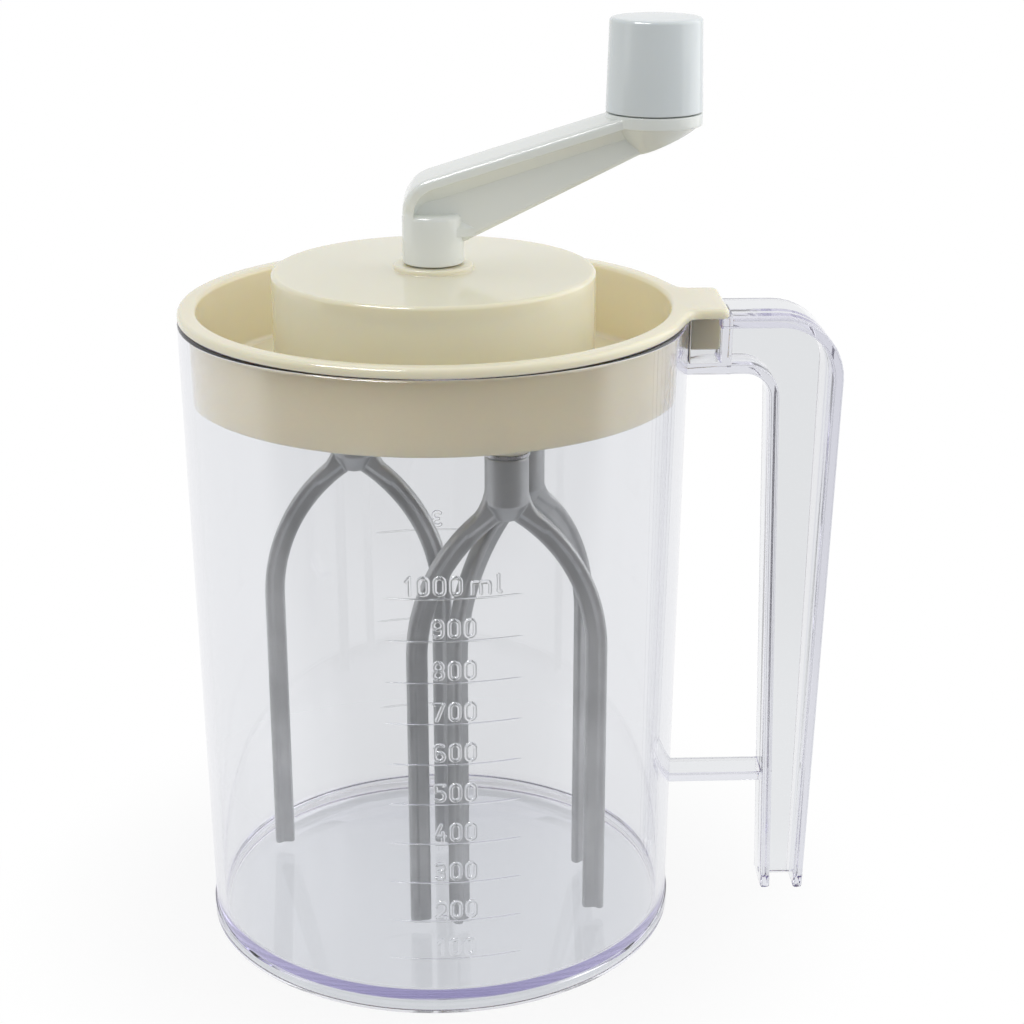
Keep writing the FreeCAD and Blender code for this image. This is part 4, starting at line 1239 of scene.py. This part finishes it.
# %% Finishes of the inner pieces
INNER = {
    gear_plastic: ["drive_gear", "pinion_left", "pinion_right", "pinion_front"],
    bearing_plastic: ["shaft_bush", "gear_washer", "knob_sleeve"],
    steel: ["cover_screws", "drive_shaft", "gear_clip", "knob_pin", "knob_clip", "pinion_clip_left",
            "pinion_clip_right", "pinion_clip_front", "beater_washer_left", "beater_washer_right",
            "beater_washer_front"],
    ivory: ["gearbox_cover"],
}
for finish, names in INNER.items():
    for name in names:
        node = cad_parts[name]
        node.data.materials.clear()
        node.data.materials.append(finish)
        smooth(node)
    print(finish.name, "on", len(names), "pieces")

# %% [markdown]
# ## The room
# The object stands in a white studio tent that is open and dim towards the front. One even white world
# would wash out every edge of the clear plastic, so the world answers by the kind of ray. The eye sees plain
# white. Mirrors and clear plastic see the tent: bright behind and at the sides, dim in front. Matte surfaces
# see the tent's even light, a little weaker in front, and that is most of the light on the lid and crank.

# %% Tools of the room
DIM_SIDE = -0.9
BRIGHT_SIDE = 0.1


def background(tree, colour, strength):
    node = tree.nodes.new("ShaderNodeBackground")
    node.inputs["Color"].default_value = (*colour, 1)
    node.inputs["Strength"].default_value = strength
    return node.outputs[0]


def choose(tree, share, first, second):
    """A shader that is the first where share is 0 and the second where it is 1."""
    node = tree.nodes.new("ShaderNodeMixShader")
    tree.links.new(share, node.inputs["Fac"])
    tree.links.new(first, node.inputs[1])
    tree.links.new(second, node.inputs[2])
    return node.outputs[0]


def after_matte(tree, path):
    """1 once a path has bounced off a matte surface."""
    node = tree.nodes.new("ShaderNodeMath")
    node.operation = "GREATER_THAN"
    node.inputs[1].default_value = 0.5
    tree.links.new(path.outputs["Diffuse Depth"], node.inputs[0])
    return node.outputs[0]


def to_the_back(tree):
    """0 towards the front of the room, rising to 1 at its sides and staying 1 to its back."""
    place = tree.nodes.new("ShaderNodeTexCoord")
    split = tree.nodes.new("ShaderNodeSeparateXYZ")
    tree.links.new(place.outputs["Generated"], split.inputs[0])
    node = tree.nodes.new("ShaderNodeMapRange")
    node.interpolation_type = "SMOOTHSTEP"
    node.inputs["From Min"].default_value = DIM_SIDE
    node.inputs["From Max"].default_value = BRIGHT_SIDE
    tree.links.new(split.outputs["Y"], node.inputs["Value"])
    return node.outputs["Result"]


print("the room is dimmest below a front share of", DIM_SIDE)

# %% [markdown]
# ## The room, put together
# Each kind of ray gets its own room, and mix shaders choose between them. The last choice wins, so the order
# matters: a path that has met a matte surface sees the even fill, whatever it does afterwards.

# %% World
BACKDROP = (1.0, 1.0, 1.0)
THROUGH_JAR = (0.855, 0.870, 0.885)
ROOM_FRONT = 0.22
ROOM_BACK = 0.9
THROUGH_FRONT = 0.18
FILL = 0.87
FILL_FRONT = 0.72
FILL_TONE = (0.97, 0.98, 1.0)


def build_world():
    world = bpy.data.worlds.new("studio")
    bpy.context.scene.world = world
    world.use_nodes = True
    tree = world.node_tree
    tree.nodes.clear()
    path = tree.nodes.new("ShaderNodeLightPath")
    back = to_the_back(tree)

    def room(tone, front_light, back_light):
        return choose(tree, back, background(tree, tone, front_light), background(tree, tone, back_light))

    mirrored = room(BACKDROP, ROOM_FRONT, ROOM_BACK)
    through = room(THROUGH_JAR, THROUGH_FRONT, 1)
    fill = room(FILL_TONE, FILL_FRONT, FILL)
    light = choose(tree, path.outputs["Is Glossy Ray"], fill, mirrored)
    light = choose(tree, path.outputs["Is Transmission Ray"], light, through)
    light = choose(tree, path.outputs["Is Camera Ray"], light, background(tree, BACKDROP, 1))
    light = choose(tree, after_matte(tree, path), light, fill)
    output = tree.nodes.new("ShaderNodeOutputWorld")
    tree.links.new(light, output.inputs["Surface"])


build_world()
print("room: front", ROOM_FRONT, "back", ROOM_BACK, "fill", FILL)

# %% [markdown]
# ## The floor
# The floor is a pale sheet. Near the object it keeps a soft shadow, and further out it fades to the white
# of the backdrop, so that no edge or horizon shows. A shadow catcher would need a compositor to do this.
# Here the sheet's own material mixes plain white with a matte grey that takes light and shade.


# %% Tools of the floor
def emission(tree, colour):
    """A surface that shows one plain colour, whatever light falls on it."""
    node = tree.nodes.new("ShaderNodeEmission")
    node.inputs["Color"].default_value = (*colour, 1)
    return node.outputs[0]


def math_node(tree, operation, first, second):
    """Adds a Math node. An input may be a number or an output of another node."""
    node = tree.nodes.new("ShaderNodeMath")
    node.operation = operation
    for socket, value in zip(node.inputs, (first, second)):
        if isinstance(value, (int, float)):
            socket.default_value = value
        else:
            tree.links.new(value, socket)
    return node.outputs[0]


def span(tree, source, from_low, from_high, to_low=0.0, to_high=1.0):
    """Maps one range of values smoothly to another and holds the ends."""
    node = tree.nodes.new("ShaderNodeMapRange")
    node.interpolation_type = "SMOOTHSTEP"
    node.inputs["From Min"].default_value = from_low
    node.inputs["From Max"].default_value = from_high
    node.inputs["To Min"].default_value = to_low
    node.inputs["To Max"].default_value = to_high
    tree.links.new(source, node.inputs["Value"])
    return node.outputs["Result"]


print("floor tools: emission, math_node, span")

# %% [markdown]
# ## The floor's material
# The eye sees white, with a share of shaded grey near the object. Through the jar the floor shows as a flat,
# slightly darker grey. Under the jar a still darker flat grey is a painted shadow of the jar. Towards the
# front it goes dim for the object, as the room does, because the clear plastic needs something dark to draw
# its edges with.

# %% Floor
FLOOR_SIZE = 6000
SHADE_REACH = 0.055
FADE_REACH = 0.12
WHITE_NEAR = 0.91
FLOOR_BASE = (0.45, 0.45, 0.45)
FLOOR_THROUGH = (0.82, 0.835, 0.845)
# Painted shadow: the darker grey of the floor under the jar, seen through the jar.
FLOOR_PAINTED_SHADOW = (0.675, 0.70, 0.725)
PAINTED_SHADOW_EDGE = (0.054, 0.062)
FRONT_NEAR = -0.055
FRONT_FAR = -0.19
FRONT_LIGHT = 0.18


def floor_material():
    """Plain white for the eye, with shade near the object, and a dimmer floor for clear and glossy pieces,
    with a painted shadow under the jar.
    """
    material, tree, shader, output = start_finish("floor_white")
    shader.inputs["Base Color"].default_value = (*FLOOR_BASE, 1)
    shader.inputs["Roughness"].default_value = 0.7
    place = tree.nodes.new("ShaderNodeTexCoord")
    split = tree.nodes.new("ShaderNodeSeparateXYZ")
    tree.links.new(place.outputs["Object"], split.inputs[0])
    reach = tree.nodes.new("ShaderNodeVectorMath")
    reach.operation = "LENGTH"
    tree.links.new(place.outputs["Object"], reach.inputs[0])
    path = tree.nodes.new("ShaderNodeLightPath")
    # Seen through the jar, the floor under it is a flat darker grey: a painted shadow of the jar.
    outside = span(tree, reach.outputs["Value"], *PAINTED_SHADOW_EDGE)
    through = choose(tree, outside, emission(tree, FLOOR_PAINTED_SHADOW), emission(tree, FLOOR_THROUGH))
    seen_by_object = choose(tree, path.outputs["Is Transmission Ray"], emission(tree, BACKDROP), through)
    to_object = span(tree, split.outputs["Y"], FRONT_FAR, FRONT_NEAR)
    seen_by_object = choose(tree, to_object, emission(tree, (FRONT_LIGHT,) * 3), seen_by_object)
    plain = choose(tree, path.outputs["Is Camera Ray"], seen_by_object, emission(tree, BACKDROP))
    clean_path = math_node(tree, "SUBTRACT", 1, after_matte(tree, path))
    fade = span(tree, reach.outputs["Value"], SHADE_REACH, FADE_REACH, WHITE_NEAR, 1.0)
    share = math_node(tree, "MULTIPLY", clean_path, fade)
    tree.links.new(choose(tree, share, shader.outputs[0], plain), output.inputs["Surface"])
    return material


def square(z):
    """Corners of the floor's sheet at a height."""
    return [(x * FLOOR_SIZE / 2, y * FLOOR_SIZE / 2, z) for x, y in ((-1, -1), (1, -1), (1, 1), (-1, 1))]


floor = skin("floor", [square(-0.05), square(-20)])
floor.data.materials.append(floor_material())
print("floor", FLOOR_SIZE / 1000, "m wide")

# %% [markdown]
# ## Lamps
# The tent gives most of the light, and area lamps lean it. A broad one at the right draws the bright strip
# down the side of the knob, and weak ones stand at the left and above. The last one hangs in front on the
# left. It gives crisp sparks on rounded edges. Matte surfaces don't see it, or it would flatten them, and
# no ray sees it through the jar, or it would draw a streak on the far wall.


# %% Lamps
def soft_lamp(name, place, aim, size, power, sparks_only=False):
    """A rectangular area lamp, aimed at a point. With sparks_only it shows in glossy surfaces alone."""
    lamp = bpy.data.lights.new(name, "AREA")
    lamp.shape = "RECTANGLE"
    lamp.size, lamp.size_y = size
    lamp.energy = power
    holder = bpy.data.objects.new(name, lamp)
    bpy.context.scene.collection.objects.link(holder)
    holder.location = place
    holder.rotation_euler = (Vector(aim) - Vector(place)).to_track_quat("-Z", "Y").to_euler()
    holder.visible_diffuse = not sparks_only
    holder.visible_transmission = not sparks_only
    print(name, power, "W from", round((Vector(aim) - Vector(place)).length, 2), "m")


MIDDLE = (0, 0, 0.11)
soft_lamp("lamp_left", (-0.85, -0.2, 0.45), MIDDLE, (0.35, 0.8), 0.6)
soft_lamp("lamp_right", (0.85, 0.07, 0.4), MIDDLE, (1.2, 1.1), 4.4)
soft_lamp("lamp_top", (0.0, 0.1, 1.0), MIDDLE, (0.8, 0.8), 0.3)
soft_lamp("lamp_sparks", (-0.35, -0.3, 0.9), MIDDLE, (0.5, 0.3), 8.0, sparks_only=True)

# %% [markdown]
# ## Camera
# A long lens from half a metre away looks down at the jar by some 20 degrees. A shorter lens from closer
# would bend the jar's sides more.

# %% Camera
CAMERA_AT = (0, -0.4714, 0.2721)
PITCH = math.radians(19.635)
YAW = math.radians(2.232)
camera_data = bpy.data.cameras.new("camera")
camera_data.lens = 72
camera_data.sensor_width = 36
camera = bpy.data.objects.new("camera", camera_data)
camera.location = CAMERA_AT
look = Vector((math.sin(YAW) * math.cos(PITCH), math.cos(YAW) * math.cos(PITCH), -math.sin(PITCH)))
camera.rotation_euler = look.to_track_quat("-Z", "Y").to_euler()
bpy.context.scene.collection.objects.link(camera)
bpy.context.scene.camera = camera
bpy.context.scene.view_settings.view_transform = "Standard"
print("camera lens", camera_data.lens, "mm, looking down by", round(math.degrees(PITCH), 1), "degrees")

# %% [markdown]
# ## Bounces in clear plastic
# Light that runs along the jar's floor plate is thrown back and forth between its two faces many times
# before it leaves at the rim. Cycles stops a path after a dozen bounces by default, which would turn that
# edge black, so the limits go up for this scene.

# %% Bounces
PLATE_BOUNCES = 40
WELL_BOUNCES = 12
cycles = bpy.context.scene.cycles
cycles.max_bounces = PLATE_BOUNCES
cycles.transmission_bounces = PLATE_BOUNCES
cycles.glossy_bounces = PLATE_BOUNCES
cycles.diffuse_bounces = WELL_BOUNCES
print("bounces allowed:", cycles.max_bounces)
